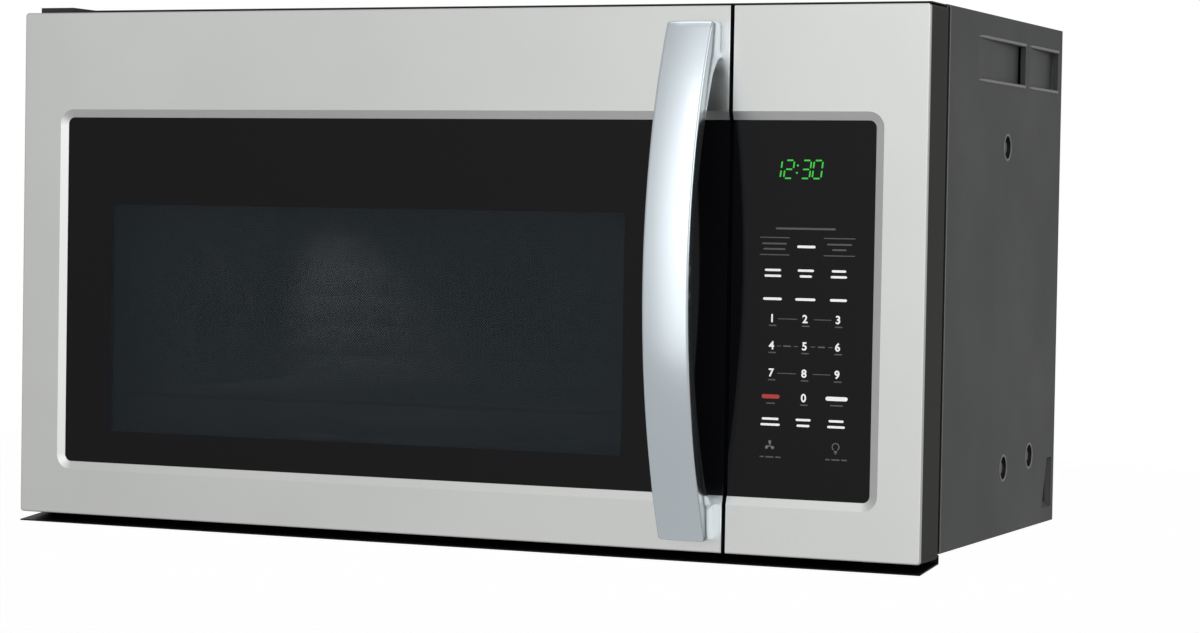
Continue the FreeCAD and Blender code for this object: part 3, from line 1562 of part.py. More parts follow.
def convection_motor():
    low = cavity_ceiling + 2 * gauge + s.convection_height
    body = rod("oven_motor_body", (cavity_mid, convection_y(), low), "z", s.convection_motor_radius,
               s.convection_motor_height)
    plate = block("oven_motor_plate", (cavity_mid - 1.5 * s.convection_motor_radius,
                                       convection_y() - 2 * s.case_wall, low),
                  (cavity_mid + 1.5 * s.convection_motor_radius, convection_y() + 2 * s.case_wall,
                   low + gauge))
    bore = rod("oven_motor_bore", (cavity_mid, convection_y(), low - gauge), "z",
               s.convection_shaft + s.running_gap, s.convection_motor_height * 0.75 + gauge)
    return cut("oven_motor", fuse("oven_motor_solid", body, plate), bore)


# ---------------------------------------------------------------- hood

def duct_limits():
    low = (-s.duct_width / 2, -s.duct_back - s.duct_depth)
    high = (s.duct_width / 2, -s.duct_back)
    return low, high


def collar_foot():
    return body_roof - gauge - s.collar_height


def tube(name, low, high, z_low, z_high, wall):
    """A rectangular sleeve, open above and below."""
    return cut(name,
               block(name + "_out", (low[0], low[1], z_low), (high[0], high[1], z_high)),
               block(name + "_in", (low[0] + wall, low[1] + wall, z_low - wall),
                     (high[0] - wall, high[1] - wall, z_high + wall)))


def flap_axis():
    low, _ = duct_limits()
    return low[1] + gauge + s.flap_gap + s.flap_pin, body_roof - gauge - s.flap_drop


def exhaust_collar():
    low, high = duct_limits()
    sleeve = tube("collar", low, high, collar_foot(), body_roof - gauge, gauge)
    y, z = flap_axis()
    return cut("exhaust", sleeve, rod("flap_bore", (low[0] - gauge, y, z), "x",
                                      s.flap_pin + s.running_gap, s.duct_width + 2 * gauge))


def damper_flap():
    low, high = duct_limits()
    y, z = flap_axis()
    flap = block("flap_sheet", (low[0] + gauge + s.flap_gap, y, z - s.flap_gauge / 2),
                 (high[0] - gauge - s.flap_gap, high[1] - gauge - s.flap_gap, z + s.flap_gauge / 2))
    pin = rod("flap_rod", (low[0], y, z), "x", s.flap_pin, s.duct_width)
    return fuse("flap", flap, pin)


def blower_axis():
    low, high = duct_limits()
    floor = cavity_ceiling + gauge
    return (low[1] + high[1]) / 2, (floor + collar_foot()) / 2


def blower_housing():
    low, high = duct_limits()
    floor = cavity_ceiling + gauge
    y, z = blower_axis()
    box = cut("blower_box",
              block("blower_out", (low[0], low[1], floor), (high[0], high[1], collar_foot())),
              block("blower_in", (low[0] + gauge, low[1] + gauge, floor + gauge),
                    (high[0] - gauge, high[1] - gauge, collar_foot() + gauge)),
              rod("blower_inlets", (low[0] - gauge, y, z), "x", s.inlet_radius, s.duct_width + 2 * gauge))
    saddle = cut("motor_saddle",
                 block("saddle_block", (-s.blower_motor_width / 4, y - 0.8 * s.blower_motor_radius,
                                        floor + gauge),
                       (s.blower_motor_width / 4, y + 0.8 * s.blower_motor_radius, z)),
                 rod("saddle_seat", (-s.blower_motor_width, y, z), "x", s.blower_motor_radius,
                     2 * s.blower_motor_width))
    return fuse("blower_case", box, saddle)


def blower_motor():
    y, z = blower_axis()
    half = s.blower_motor_width / 2
    return cut("blower_motor",
               rod("blower_motor_body", (-half, y, z), "x", s.blower_motor_radius, s.blower_motor_width),
               rod("blower_motor_bore", (-half - gauge, y, z), "x", s.blower_shaft + s.running_gap,
                   s.blower_motor_width + 2 * gauge))


def blower_wheels():
    """Two drum wheels on one shaft, each a disc, an end ring and a row of slats."""
    y, z = blower_axis()
    near_x = s.blower_motor_width / 2 + s.wheel_gap / 2
    reach = near_x + s.wheel_width
    parts = [rod("wheel_shaft", (-reach, y, z), "x", s.blower_shaft, 2 * reach)]
    for name, hand in (("left", -1), ("right", 1)):
        disc = near_x if hand > 0 else -near_x - gauge
        rim = reach - 3 * gauge if hand > 0 else -reach
        slat = near_x if hand > 0 else -reach
        parts.append(rod(name + "_wheel_disc", (disc, y, z), "x", s.wheel_radius, gauge))
        parts.append(cut(name + "_wheel_rim",
                         rod(name + "_rim_out", (rim, y, z), "x", s.wheel_radius, 3 * gauge),
                         rod(name + "_rim_in", (rim - gauge, y, z), "x", s.wheel_radius * 0.84,
                             5 * gauge)))
        for index in range(20):
            parts.append(slat_blade("%s_slat_%d" % (name, index), 18 * index, (slat, y, z)))
    return fuse("wheels", *parts)


def slat_blade(name, angle, start):
    """One slat of a drum wheel, along X, near the wheel's edge."""
    item = doc.addObject("Part::Box", name)
    bind(item, "Length", s.wheel_width)
    bind(item, "Width", s.wheel_radius * 0.12)
    bind(item, "Height", s.blade_gauge)
    turn = FreeCAD.Rotation(V(1, 0, 0), angle)
    inner = s.wheel_radius * 0.86
    y = start[1] + inner * math.cos(math.radians(angle)) + s.blade_gauge / 2 * math.sin(math.radians(angle))
    z = start[2] + inner * math.sin(math.radians(angle)) - s.blade_gauge / 2 * math.cos(math.radians(angle))
    place(item, (start[0], y, z), turn)
    return item


def framed_filter(name, low, high, rim, recess):
    """A flat filter: a frame round a thinner pad."""
    body = block(name + "_body", low, high)
    dish = block(name + "_dish", (low[0] + rim, low[1] + rim, low[2] - gauge),
                 (high[0] - rim, high[1] - rim, low[2] + recess))
    return cut(name, body, dish)


def grease_filter(name, hand):
    middle = hand * filter_spread()
    low = (middle - s.filter_width / 2, filter_front(), body_floor)
    high = (middle + s.filter_width / 2, -s.filter_rear_space, body_floor + s.filter_height)
    return framed_filter("grease_" + name, low, high, s.filter_frame, s.filter_height / 4)


def charcoal_filter():
    left = -half_width + s.outlet_left
    low = (left - 4 * gauge, body_front + 2 * gauge, body_roof - gauge - s.filter_gauge)
    high = (left + s.outlet_width + 4 * gauge, body_front + 6 * gauge + s.outlet_depth,
            body_roof - gauge)
    return framed_filter("charcoal", low, high, 4 * gauge, s.filter_gauge / 3)


def lamp_cover():
    """The clear cover of the cooktop lamps, hinged along its rear edge."""
    half = s.lamp_width / 2
    front = body_front + s.lip_flange + s.lamp_back
    barrel = s.lamp_pin + gauge / 2
    plate = block("cover_plate", (cavity_mid - half, front, body_floor),
                  (cavity_mid + half, lamp_hinge_y(), body_floor + s.lamp_gauge))
    roll = rod("cover_barrel", (cavity_mid - half, lamp_hinge_y(), lamp_hinge_z()), "x", barrel,
               s.lamp_width)
    pin = rod("cover_pin", (cavity_mid - half - s.filter_gap - gauge, lamp_hinge_y(), lamp_hinge_z()), "x",
              s.lamp_pin, s.lamp_width + 2 * s.filter_gap + 2 * gauge)
    return fuse("cover", plate, roll, pin)


def cooktop_lamps():
    """A reflector shelf with two bulbs above the cover."""
    half = s.lamp_width / 2
    front = body_front + s.lip_flange + s.lamp_back
    floor = body_floor + gauge
    shelf_z = cavity_floor - gauge - s.lamp_gauge
    parts = [block("lamp_shelf", (cavity_mid - half, front, shelf_z),
                   (cavity_mid + half, front + s.lamp_depth, cavity_floor - gauge)),
             block("lamp_wall", (cavity_mid - half, front - 3 * gauge, floor),
                   (cavity_mid + half, front - 2 * gauge, cavity_floor - gauge)),
             block("lamp_bridge", (cavity_mid - half, front - 3 * gauge, shelf_z),
                   (cavity_mid + half, front, cavity_floor - gauge))]
    for name, hand in (("left", -1), ("right", 1)):
        x = cavity_mid + hand * s.lamp_width / 4
        y = front + s.lamp_depth / 2
        parts.append(rod(name + "_lamp_neck", (x, y, shelf_z - s.bulb_radius), "z", s.bulb_radius,
                         s.bulb_radius))
        bulb = doc.addObject("Part::Sphere", name + "_lamp_globe")
        bind(bulb, "Radius", s.bulb_radius)
        place(bulb, (x, y, shelf_z - s.bulb_radius))
        parts.append(bulb)
    return fuse("lamps", *parts)


# ---------------------------------------------------------------- electrical compartment

def guide_limits():
    low = (cavity_right + gauge, cavity_front + s.guide_back, cavity_ceiling - s.guide_drop - s.guide_height)
    high = (low[0] + s.guide_width, low[1] + s.guide_depth, low[2] + s.guide_height)
    return low, high


def waveguide():
    """The sheet duct from the magnetron to the cavity wall."""
    low, high = guide_limits()
    room = block("guide_room", (low[0] - gauge, low[1] + gauge, low[2] + gauge),
                 (high[0] - gauge, high[1] - gauge, high[2] - gauge))
    _, y, z = antenna_place()
    hole = rod("guide_hole", (high[0] - 2 * gauge, y, z), "x", s.antenna_radius + gauge, 3 * gauge)
    return cut("guide", block("guide_block", low, high), room, hole)


def waveguide_cover():
    """The thin mineral sheet over the port, on the cavity's side."""
    low, high = guide_limits()
    return block("port_cover", (cavity_right - gauge / 2, low[1] + 2 * s.case_wall,
                                low[2] + 3 * s.case_wall),
                 (cavity_right, high[1] - 2 * s.case_wall, high[2] - 3 * s.case_wall))


def antenna_place():
    low, high = guide_limits()
    return high[0], (low[1] + high[1]) / 2, high[2] - 2.6 * s.antenna_radius


def magnetron():
    """Yoke box with cooling fins, the antenna into the waveguide and the terminal box behind."""
    x, y, z = antenna_place()
    half = s.magnetron_width / 2
    low_z = z - s.magnetron_height / 2
    top = block("yoke_face", (x, y - half, low_z), (x + 2 * gauge, y + half, low_z + s.magnetron_height))
    back = block("yoke_back", (x + s.magnetron_width - 2 * gauge, y - half, low_z),
                 (x + s.magnetron_width, y + half, low_z + s.magnetron_height))
    core = rod("anode", (x, y, z), "x", 2 * s.antenna_radius, s.magnetron_width)
    rails = [block("yoke_rail_%d" % index, (x, y - half, z_low),
                   (x + s.magnetron_width, y + half, z_low + 2 * gauge))
             for index, z_low in enumerate((low_z, low_z + s.magnetron_height - 2 * gauge))]
    fins = [block("fin_%d" % index, (x + (6 + 8 * index) * 2 * gauge, y - half + 2 * gauge, low_z + gauge),
                  (x + (6 + 8 * index) * 2 * gauge + gauge, y + half - 2 * gauge,
                   low_z + s.magnetron_height - gauge)) for index in range(4)]
    antenna = rod("antenna", (x - s.guide_width * 0.7, y, z), "x", s.antenna_radius,
                  s.guide_width * 0.7 + gauge)
    box = block("terminal_box", (x + s.magnetron_width - gauge, y - half / 2, z - half / 2),
                (x + s.magnetron_width + s.guide_width * 0.6, y + half / 2, z + half / 2))
    return fuse("tube_unit", top, back, core, *rails, *fins, antenna, box)


def fan_place():
    _, _, z = antenna_place()
    low, high = guide_limits()
    return high[0] + s.fan_radius + 4 * s.case_wall, cavity_front + s.fan_back, z


def fan_shroud():
    """A square frame round the cooling fan, with a wing that closes the way to the casing's side."""
    x, y, z = fan_place()
    half = s.fan_radius + 2 * s.case_wall
    frame = cut("shroud_frame",
                block("shroud_block", (x - half, y, z - half), (x + half, y + s.fan_depth, z + half)),
                rod("shroud_hole", (x, y - gauge, z), "y", s.fan_radius + s.case_wall / 2,
                    s.fan_depth + 2 * gauge))
    arms = [block("shroud_arm_x", (x - half + gauge, y + s.fan_depth, z - s.case_wall),
                  (x + half - gauge, y + s.fan_depth + 2 * gauge, z + s.case_wall))]
    arms.append(block("shroud_arm_z", (x - s.case_wall, y + s.fan_depth, z - half + gauge),
                      (x + s.case_wall, y + s.fan_depth + 2 * gauge, z + half - gauge)))
    rim = cut("shroud_rim",
              block("shroud_rim_block", (x - half, y + s.fan_depth, z - half),
                    (x + half, y + s.fan_depth + 2 * gauge, z + half)),
              rod("shroud_rim_hole", (x, y, z), "y", s.fan_radius + s.case_wall / 2,
                  s.fan_depth + 3 * gauge))
    wing = block("shroud_wing", (x + half - gauge, y, z - half), (side_x - gauge, y + 2 * gauge, z + half))
    bore = rod("shroud_bore", (x, y, z), "y", 2 * s.fan_shaft, s.fan_depth + 3 * gauge)
    return cut("shroud", fuse("shroud_solid", frame, rim, *arms, wing), bore)


def cooling_fan():
    """Five slanted blades on a hub with its shaft into the motor."""
    x, y, z = fan_place()
    front = y + 3 * gauge
    depth = s.fan_depth - 6 * gauge
    parts = [rod("cool_hub", (x, front, z), "y", s.fan_radius * 0.32, depth),
             rod("cool_shaft", (x, front, z), "y", s.fan_shaft, depth + 10 * s.case_wall)]
    for index in range(5):
        parts.append(fan_blade("cool_blade_%d" % index, 72 * index, (x, front, z), depth))
    return fuse("cool_fan", *parts)


def fan_blade(name, angle, centre, depth):
    """A flat blade about the Y axis, slanted by 35 degrees and kept inside the hub's depth."""
    slant = 35.0
    width = depth / math.sin(math.radians(slant)) * 0.9
    item = doc.addObject("Part::Box", name)
    bind(item, "Length", s.fan_radius * 0.7)
    bind(item, "Width", width)
    bind(item, "Height", s.blade_gauge)
    radial = FreeCAD.Rotation(V(0, 1, 0), -angle)
    turn = radial.multiply(FreeCAD.Rotation(V(1, 0, 0), slant))
    start = turn.multVec(V(0, -0.5, 0))
    out = radial.multVec(V(1, 0, 0))
    inner = s.fan_radius * 0.28
    x = centre[0] + inner * out.x + width * start.x
    y = centre[1] + depth / 2 + inner * out.y + width * start.y
    z = centre[2] + inner * out.z + width * start.z
    place(item, (x, y, z), turn)
    return item


def cooling_fan_motor():
    x, y, z = fan_place()
    front = y + s.fan_depth + 2 * gauge
    return cut("cool_motor",
               rod("cool_motor_body", (x, front, z), "y", s.fan_radius * 0.6, 12 * s.case_wall),
               rod("cool_motor_bore", (x, front - gauge, z), "y", s.fan_shaft + s.running_gap,
                   9 * s.case_wall))


def hv_transformer():
    low = (cavity_right + 12 * s.case_wall, cavity_front + s.transformer_back - s.guide_back,
           body_floor + gauge)
    high = (low[0] + s.transformer_width, low[1] + s.transformer_depth, low[2] + s.transformer_height)
    core = block("iron_core", (low[0], low[1] + 5 * s.case_wall, low[2] + gauge),
                 (high[0], high[1] - 5 * s.case_wall, high[2]))
    foot = block("iron_foot", low, (high[0], high[1], low[2] + 2 * gauge))
    coils = [block("winding_%d" % index, (low[0] + 5 * s.case_wall, low[1] + 2 * gauge, z),
                   (high[0] - 5 * s.case_wall, high[1] - 2 * gauge, z + 9 * s.case_wall))
             for index, z in enumerate((low[2] + 3 * s.case_wall, low[2] + 14 * s.case_wall))]
    return fuse("transformer", core, foot, *coils)


def hv_capacitor():
    low = (side_x - gauge - s.capacitor_width - s.transformer_width - 8 * s.case_wall,
           -s.capacitor_depth - 6 * s.case_wall, body_floor + gauge)
    can = block("can", low, (low[0] + s.capacitor_width, low[1] + s.capacitor_depth,
                             low[2] + s.capacitor_height))
    pegs = [block("can_peg_%d" % index,
                  (low[0] + s.capacitor_width * share, low[1] + s.capacitor_depth / 2 - gauge,
                   low[2] + s.capacitor_height),
                  (low[0] + s.capacitor_width * share + 5 * gauge,
                   low[1] + s.capacitor_depth / 2 + gauge, low[2] + s.capacitor_height + 8 * gauge))
            for index, share in enumerate((0.25, 0.65))]
    return fuse("capacitor", can, *pegs)


def cord_gland():
    x, y = side_x - s.gland_inset, -s.gland_back
    body = fuse("gland_solid",
                rod("gland_neck", (x, y, body_roof - 4 * s.case_wall), "z",
                    s.gland_radius - s.running_gap, 4 * s.case_wall + gauge),
                rod("gland_head", (x, y, body_roof), "z", s.gland_flange, 2 * gauge))
    return cut("gland", body, rod("gland_bore", (x, y, body_roof - 5 * s.case_wall), "z",
                                  s.gland_radius / 2, 8 * s.case_wall))


def case_screws():
    """The screws in the side dimples and the rear corners."""
    screws = []
    for side, hand in (("right", 1), ("left", -1)):
        for kind, (y, z) in dimple_places().items():
            name = "%s_%s_screw" % (side, kind)
            floor = hand * (side_x - s.dimple_depth)
            head = floor if hand > 0 else floor - s.screw_head_height
            tail = floor - 4 * gauge if hand > 0 else floor - gauge
            screws.append(fuse(name, rod(name + "_head", (head, y, z), "x", s.screw_head,
                                         s.screw_head_height),
                               rod(name + "_shank", (tail, y, z), "x", s.screw_radius, 5 * gauge)))
    for index, (x, z) in enumerate(rear_screw_places()):
        name = "rear_screw_%d" % index
        screws.append(fuse(name, rod(name + "_head", (x, back_y, z), "y", s.screw_head,
                                     s.wall_plate_gauge - s.fit_gap),
                           rod(name + "_shank", (x, back_y - 4 * gauge, z), "y", s.screw_radius,
                               5 * gauge)))
    return group("screws", *screws)


# ---------------------------------------------------------------- build

BUILDERS = {
    "outer_wrap": outer_wrap,
    "rear_panel": rear_panel,
    "base_plate": base_plate,
    "front_frame": front_frame,
    "front_lip": front_lip,
    "vent_grille": vent_grille,
    "wall_plate": wall_plate,
    "upper_hinge": upper_hinge,
    "lower_hinge": lower_hinge,
    "control_skin": control_skin,
    "control_case": control_case,
    "control_glass": control_glass,
    "control_board": control_board,
    "cavity_liner": cavity_liner,
    "cavity_back": cavity_back,
    "wire_rack": wire_rack,
    "cavity_lamp": cavity_lamp,
    "turntable_motor": turntable_motor,
    "convection_housing": convection_housing,
    "convection_element": convection_element,
    "convection_motor": convection_motor,
    "exhaust_collar": exhaust_collar,
    "blower_housing": blower_housing,
    "blower_motor": blower_motor,
    "charcoal_filter": charcoal_filter,
    "cooktop_lamps": cooktop_lamps,
    "waveguide": waveguide,
    "waveguide_cover": waveguide_cover,
    "magnetron": magnetron,
    "fan_shroud": fan_shroud,
    "cooling_fan_motor": cooling_fan_motor,
    "hv_transformer": hv_transformer,
    "hv_capacitor": hv_capacitor,
    "latch_board": latch_board,
    "interlock_switches": interlock_switches,
    "cord_gland": cord_gland,
    "case_screws": case_screws,
    "door_skin": door_skin,
    "door_case": door_case,
    "door_glass": door_glass,
    "door_screen": door_screen,
    "choke_cover": choke_cover,
    "door_inner_pane": door_inner_pane,
    "handle": handle,
    "door_screws": door_screws,
    "latch_hooks": latch_hooks,
    "latch_spring": latch_spring,
    "drive_coupler": drive_coupler,
    "glass_tray": glass_tray,
    "roller_ring": roller_ring,
    "roller_1": lambda: roller(0),
    "roller_2": lambda: roller(1),
    "roller_3": lambda: roller(2),
    "convection_fan": convection_fan,
    "cooling_fan": cooling_fan,
    "blower_wheels": blower_wheels,
    "damper_flap": damper_flap,
    "grease_filter_left": lambda: grease_filter("left", -1),
    "grease_filter_right": lambda: grease_filter("right", 1),
    "lamp_cover": lamp_cover,
}

for node, build in BUILDERS.items():
    finish(node, build())
doc.recompute()

for item in doc.Objects:
    if "Invalid" in item.State or "Error" in item.State:
        raise RuntimeError("%s failed: %s" % (item.Label, item.State))
for item in NODES:
    if item.Shape.isNull() or not item.Shape.isValid() or not item.Shape.Solids:
        raise RuntimeError("%s has no sound shape" % item.Label)

os.makedirs("parts", exist_ok=True)
for item in NODES:
    item.Shape.exportStep("parts/%s.step" % item.Label)
    print("%-22s %2d solids %12.1f mm3" % (item.Label, len(item.Shape.Solids), item.Shape.Volume))
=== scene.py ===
import math

import bmesh
import bpy
from mathutils import Matrix, Vector

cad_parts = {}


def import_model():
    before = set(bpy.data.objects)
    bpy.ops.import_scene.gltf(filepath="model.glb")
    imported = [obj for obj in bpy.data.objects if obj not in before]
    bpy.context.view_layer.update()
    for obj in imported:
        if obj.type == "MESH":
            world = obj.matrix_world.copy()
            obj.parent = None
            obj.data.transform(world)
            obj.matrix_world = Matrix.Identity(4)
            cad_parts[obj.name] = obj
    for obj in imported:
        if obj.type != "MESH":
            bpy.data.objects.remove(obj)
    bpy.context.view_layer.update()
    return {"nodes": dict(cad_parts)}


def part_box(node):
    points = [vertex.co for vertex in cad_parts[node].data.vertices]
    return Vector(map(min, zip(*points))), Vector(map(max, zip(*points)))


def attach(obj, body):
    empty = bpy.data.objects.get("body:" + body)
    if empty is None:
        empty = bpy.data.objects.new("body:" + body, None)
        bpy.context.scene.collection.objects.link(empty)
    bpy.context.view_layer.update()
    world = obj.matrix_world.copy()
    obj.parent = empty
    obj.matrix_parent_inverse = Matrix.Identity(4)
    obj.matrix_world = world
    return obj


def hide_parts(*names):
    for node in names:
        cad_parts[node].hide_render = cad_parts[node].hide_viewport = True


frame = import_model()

NODES = frame["nodes"]
MM = 0.001


# ---------------------------------------------------------------- materials

def maths(tree, kind, *items):
    """A math node fed by numbers or by other nodes' outputs."""
    node = tree.nodes.new("ShaderNodeMath")
    node.operation = kind
    for socket, item in zip(node.inputs, items):
        if isinstance(item, (int, float)):
            socket.default_value = item
        else:
            tree.links.new(item, socket)
    return node.outputs[0]


def tint(colour, share):
    return tuple(min(1.0, channel * share) for channel in colour)


class Shade:
    """A small builder for node materials, in object coordinates (metres)."""

    def __init__(self, name):
        self.material = bpy.data.materials.new(name)
        self.material.use_nodes = True
        self.tree = self.material.node_tree
        self.tree.nodes.clear()
        self.output = self.tree.nodes.new("ShaderNodeOutputMaterial")
        self.surface = self.tree.nodes.new("ShaderNodeBsdfPrincipled")
        self.link(self.surface.outputs[0], self.output.inputs["Surface"])
        self.place = self.tree.nodes.new("ShaderNodeTexCoord").outputs["Object"]

    def link(self, source, target):
        self.tree.links.new(source, target)

    def set(self, **numbers):
        for name, number in numbers.items():
            self.surface.inputs[name.replace("_", " ")].default_value = number
        return self

    def stretch(self, scale):
        node = self.tree.nodes.new("ShaderNodeMapping")
        node.inputs["Scale"].default_value = scale
        self.link(self.place, node.inputs["Vector"])
        return node.outputs["Vector"]

    def noise(self, scale, detail=4.0, stretch=(1, 1, 1), roughness=0.55):
        node = self.tree.nodes.new("ShaderNodeTexNoise")
        node.inputs["Scale"].default_value = scale
        node.inputs["Detail"].default_value = detail
        node.inputs["Roughness"].default_value = roughness
        self.link(self.stretch(stretch), node.inputs["Vector"])
        return node.outputs["Fac"]

    def cells(self, scale, stretch=(1, 1, 1), feature="F1"):
        node = self.tree.nodes.new("ShaderNodeTexVoronoi")
        node.feature = feature
        node.inputs["Scale"].default_value = scale
        self.link(self.stretch(stretch), node.inputs["Vector"])
        return node.outputs["Distance"]

    def math(self, kind, *items):
        return maths(self.tree, kind, *items)

    def between(self, source, low, high, start=0.0, end=1.0):
        node = self.tree.nodes.new("ShaderNodeMapRange")
        node.inputs["From Min"].default_value = start
        node.inputs["From Max"].default_value = end
        node.inputs["To Min"].default_value = low
        node.inputs["To Max"].default_value = high
        self.link(source, node.inputs["Value"])
        return node.outputs["Result"]

    def colours(self, source, *stops):
        node = self.tree.nodes.new("ShaderNodeValToRGB")
        ramp = node.color_ramp
        while len(ramp.elements) < len(stops):
            ramp.elements.new(0.5)
        for element, (place, colour) in zip(ramp.elements, stops):
            element.position = place
            element.color = (*colour, 1)
        self.link(source, node.inputs["Fac"])
        return node.outputs["Color"]

    def colour(self, source, *stops):
        self.link(self.colours(source, *stops), self.surface.inputs["Base Color"])
        return self

    def clouded(self, source, colour, darkest, lightest):
        """A colour that drifts between two shares of itself."""
        return self.colour(source, (0.3, tint(colour, darkest)), (0.7, tint(colour, lightest)))

    def rough(self, source, low, high, start=0.3, end=0.7):
        """Roughness from low to high as the source goes from start to end."""
        self.link(self.between(source, low, high, start, end), self.surface.inputs["Roughness"])
        return self

    def bump(self, source, strength, depth):
        node = self.tree.nodes.new("ShaderNodeBump")
        node.inputs["Strength"].default_value = strength
        node.inputs["Distance"].default_value = depth
        self.link(source, node.inputs["Height"])
        last = self.surface.inputs["Normal"]
        if last.is_linked:
            self.link(last.links[0].from_socket, node.inputs["Normal"])
        self.link(node.outputs["Normal"], last)
        return self

    def axes(self):
        node = self.tree.nodes.new("ShaderNodeSeparateXYZ")
        self.link(self.place, node.inputs[0])
        return node.outputs

    def inside(self, low, high):
        """1 inside a box given as two corners (None leaves a side open)."""
        result = None
        for letter, start, end in zip(self.axes(), low, high):
            for kind, limit in (("GREATER_THAN", start), ("LESS_THAN", end)):
                if limit is None:
                    continue
                part = self.math(kind, letter, limit)
                result = part if result is None else self.math("MULTIPLY", result, part)
        return result


def brushed(name, colour, low, high, along=(3, 60, 60)):
    """Satin metal with faint cloudy wear. low and high are its roughness; the grain runs along
    the axis with the small number, X unless told otherwise."""
    shade = Shade(name)
    grain = shade.noise(60, 6, along, 0.7)
    cloud = shade.noise(5, 3)
    shade.clouded(cloud, colour, 0.97, 1.03)
    shade.rough(grain, low, high)
    shade.bump(grain, 0.12, 0.00002)
    return shade.set(Metallic=1.0).material


def painted(name, colour, low=0.38, high=0.5, scale=900, depth=0.00004, gloss=0.5):
    """Powder or enamel paint with a fine skin."""
    shade = Shade(name)
    skin = shade.noise(scale, 3)
    cloud = shade.noise(9, 4)
    shade.clouded(cloud, colour, 0.94, 1.06)
    shade.rough(cloud, low, high)
    shade.bump(skin, 0.25, depth)
    return shade.set(Specular_IOR_Level=gloss).material


def galvanised(name, colour):
    """Zinc-coated sheet with its spangle."""
    shade = Shade(name)
    flake = shade.cells(90)
    cloud = shade.noise(30, 5)
    mixed = shade.math("ADD", shade.math("MULTIPLY", flake, 0.6),
                       shade.math("MULTIPLY", cloud, 0.6))
    shade.colour(mixed, (0.25, tint(colour, 0.85)), (0.75, tint(colour, 1.12)))
    shade.rough(flake, 0.35, 0.55, 0.1, 0.6)
    shade.bump(flake, 0.08, 0.00003)
    return shade.set(Metallic=0.85).material


def moulded(name, colour, gloss=0.5):
    """Moulded plastic with a fine spark-eroded grain."""
    shade = Shade(name)
    grain = shade.noise(1400, 2)
    cloud = shade.noise(14, 3)
    shade.clouded(cloud, colour, 0.92, 1.08)
    shade.rough(grain, 0.42, 0.55)
    shade.bump(grain, 0.3, 0.00006)
    return shade.set(Specular_IOR_Level=gloss).material


ALONG_Z = (60, 60, 3)
# name, colour, lowest and highest roughness
materials = {
    "stainless": brushed("satin_steel", (0.59, 0.60, 0.588), 0.26, 0.36),
    "handle": brushed("satin_handle", (0.715, 0.785, 0.83), 0.17, 0.24, ALONG_Z),
    "casing": painted("casing_paint", (0.062, 0.064, 0.064), 0.45, 0.58, gloss=0.25),
    "lip": painted("lip_paint", (0.004, 0.004, 0.005), 0.35, 0.5, gloss=0.15),
    "grille": painted("grille_paint", (0.022, 0.025, 0.025), 0.4, 0.5, gloss=0.3),
    "zinc": galvanised("galvanised_sheet", (0.55, 0.56, 0.57)),
    "hinge": painted("hinge_plate", (0.012, 0.013, 0.015), 0.3, 0.45, gloss=0.4),
    "case": moulded("case_plastic", (0.0135, 0.0133, 0.0108), gloss=0.13),
    "black": moulded("black_plastic", (0.018, 0.018, 0.018)),
    "white": moulded("white_plastic", (0.78, 0.78, 0.75)),
    "enamel": painted("cavity_enamel", (0.42, 0.435, 0.44), 0.22, 0.32, 2500, 0.00002),
    "wire": brushed("chromed_wire", (0.78, 0.78, 0.78), 0.1, 0.18),
    "dark_metal": brushed("heater_sheath", (0.16, 0.15, 0.14), 0.4, 0.6),
    "motor": brushed("motor_steel", (0.42, 0.42, 0.42), 0.35, 0.5),
    "can": brushed("drawn_can", (0.7, 0.71, 0.72), 0.25, 0.35, ALONG_Z),
    "screw": brushed("screw_plate", (0.3, 0.3, 0.3), 0.3, 0.42),
    "black_screw": brushed("black_screw", (0.17, 0.17, 0.17), 0.35, 0.5),
    # a lighter, glossier copy of the casing paint for the louvre beads, the hems and the dimple
    # rims: a painted highlight on their edges
    "edge": painted("casing_highlight_paint", (0.19, 0.193, 0.192), 0.3, 0.42, gloss=0.4),
    "spring": brushed("spring_leaf", (0.55, 0.56, 0.57), 0.25, 0.35),
}


def board_material():
    """Green circuit board with copper-shadow tracks."""
    shade = Shade("circuit_board")
    tracks = shade.cells(220, (1, 1, 1), "DISTANCE_TO_EDGE")
    line = shade.math("LESS_THAN", tracks, 0.06)
    shade.colour(line, (0.0, (0.02, 0.10, 0.045)), (1.0, (0.035, 0.17, 0.07)))
    shade.bump(tracks, 0.2, 0.00005)
    shade.rough(shade.noise(300), 0.3, 0.45)
    return shade.material


def core_material():
    """Stacked iron sheets with varnish."""
    shade = Shade("laminated_core")
    sheets = shade.noise(40, 2, (1, 60, 1))
    shade.colour(sheets, (0.35, (0.05, 0.035, 0.02)), (0.65, (0.16, 0.12, 0.08)))
    shade.rough(sheets, 0.4, 0.6)
    shade.bump(sheets, 0.4, 0.0002)
    return shade.set(Metallic=0.4).material


def charcoal_material():
    """Loose black grains in a pad."""
    shade = Shade("charcoal_pad")
    grains = shade.cells(350)
    shade.colour(grains, (0.0, (0.008, 0.008, 0.008)), (0.8, (0.045, 0.045, 0.045)))
    shade.bump(grains, 0.9, 0.0008)
    shade.rough(grains, 0.6, 0.8, 0.0, 0.7)
    return shade.material


def filter_material():
    """Pressed aluminium frame and the layered expanded mesh inside it."""
    shade = Shade("filter_mesh")
    mesh = shade.cells(260, (1, 1.7, 1))
    shade.colour(mesh, (0.05, (0.16, 0.16, 0.16)), (0.45, (0.62, 0.63, 0.64)))
    shade.rough(mesh, 0.3, 0.5, 0.0, 0.6)
    shade.bump(mesh, 0.9, 0.0008)
    return shade.set(Metallic=1.0).material


def mica_material():
    """Pale flaky mineral sheet."""
    shade = Shade("mica_sheet")
    flakes = shade.cells(70)
    shade.colour(flakes, (0.1, (0.50, 0.42, 0.27)), (0.7, (0.70, 0.61, 0.43)))
    shade.rough(flakes, 0.3, 0.5, 0.1, 0.7)
    shade.bump(flakes, 0.1, 0.0001)
    return shade.material


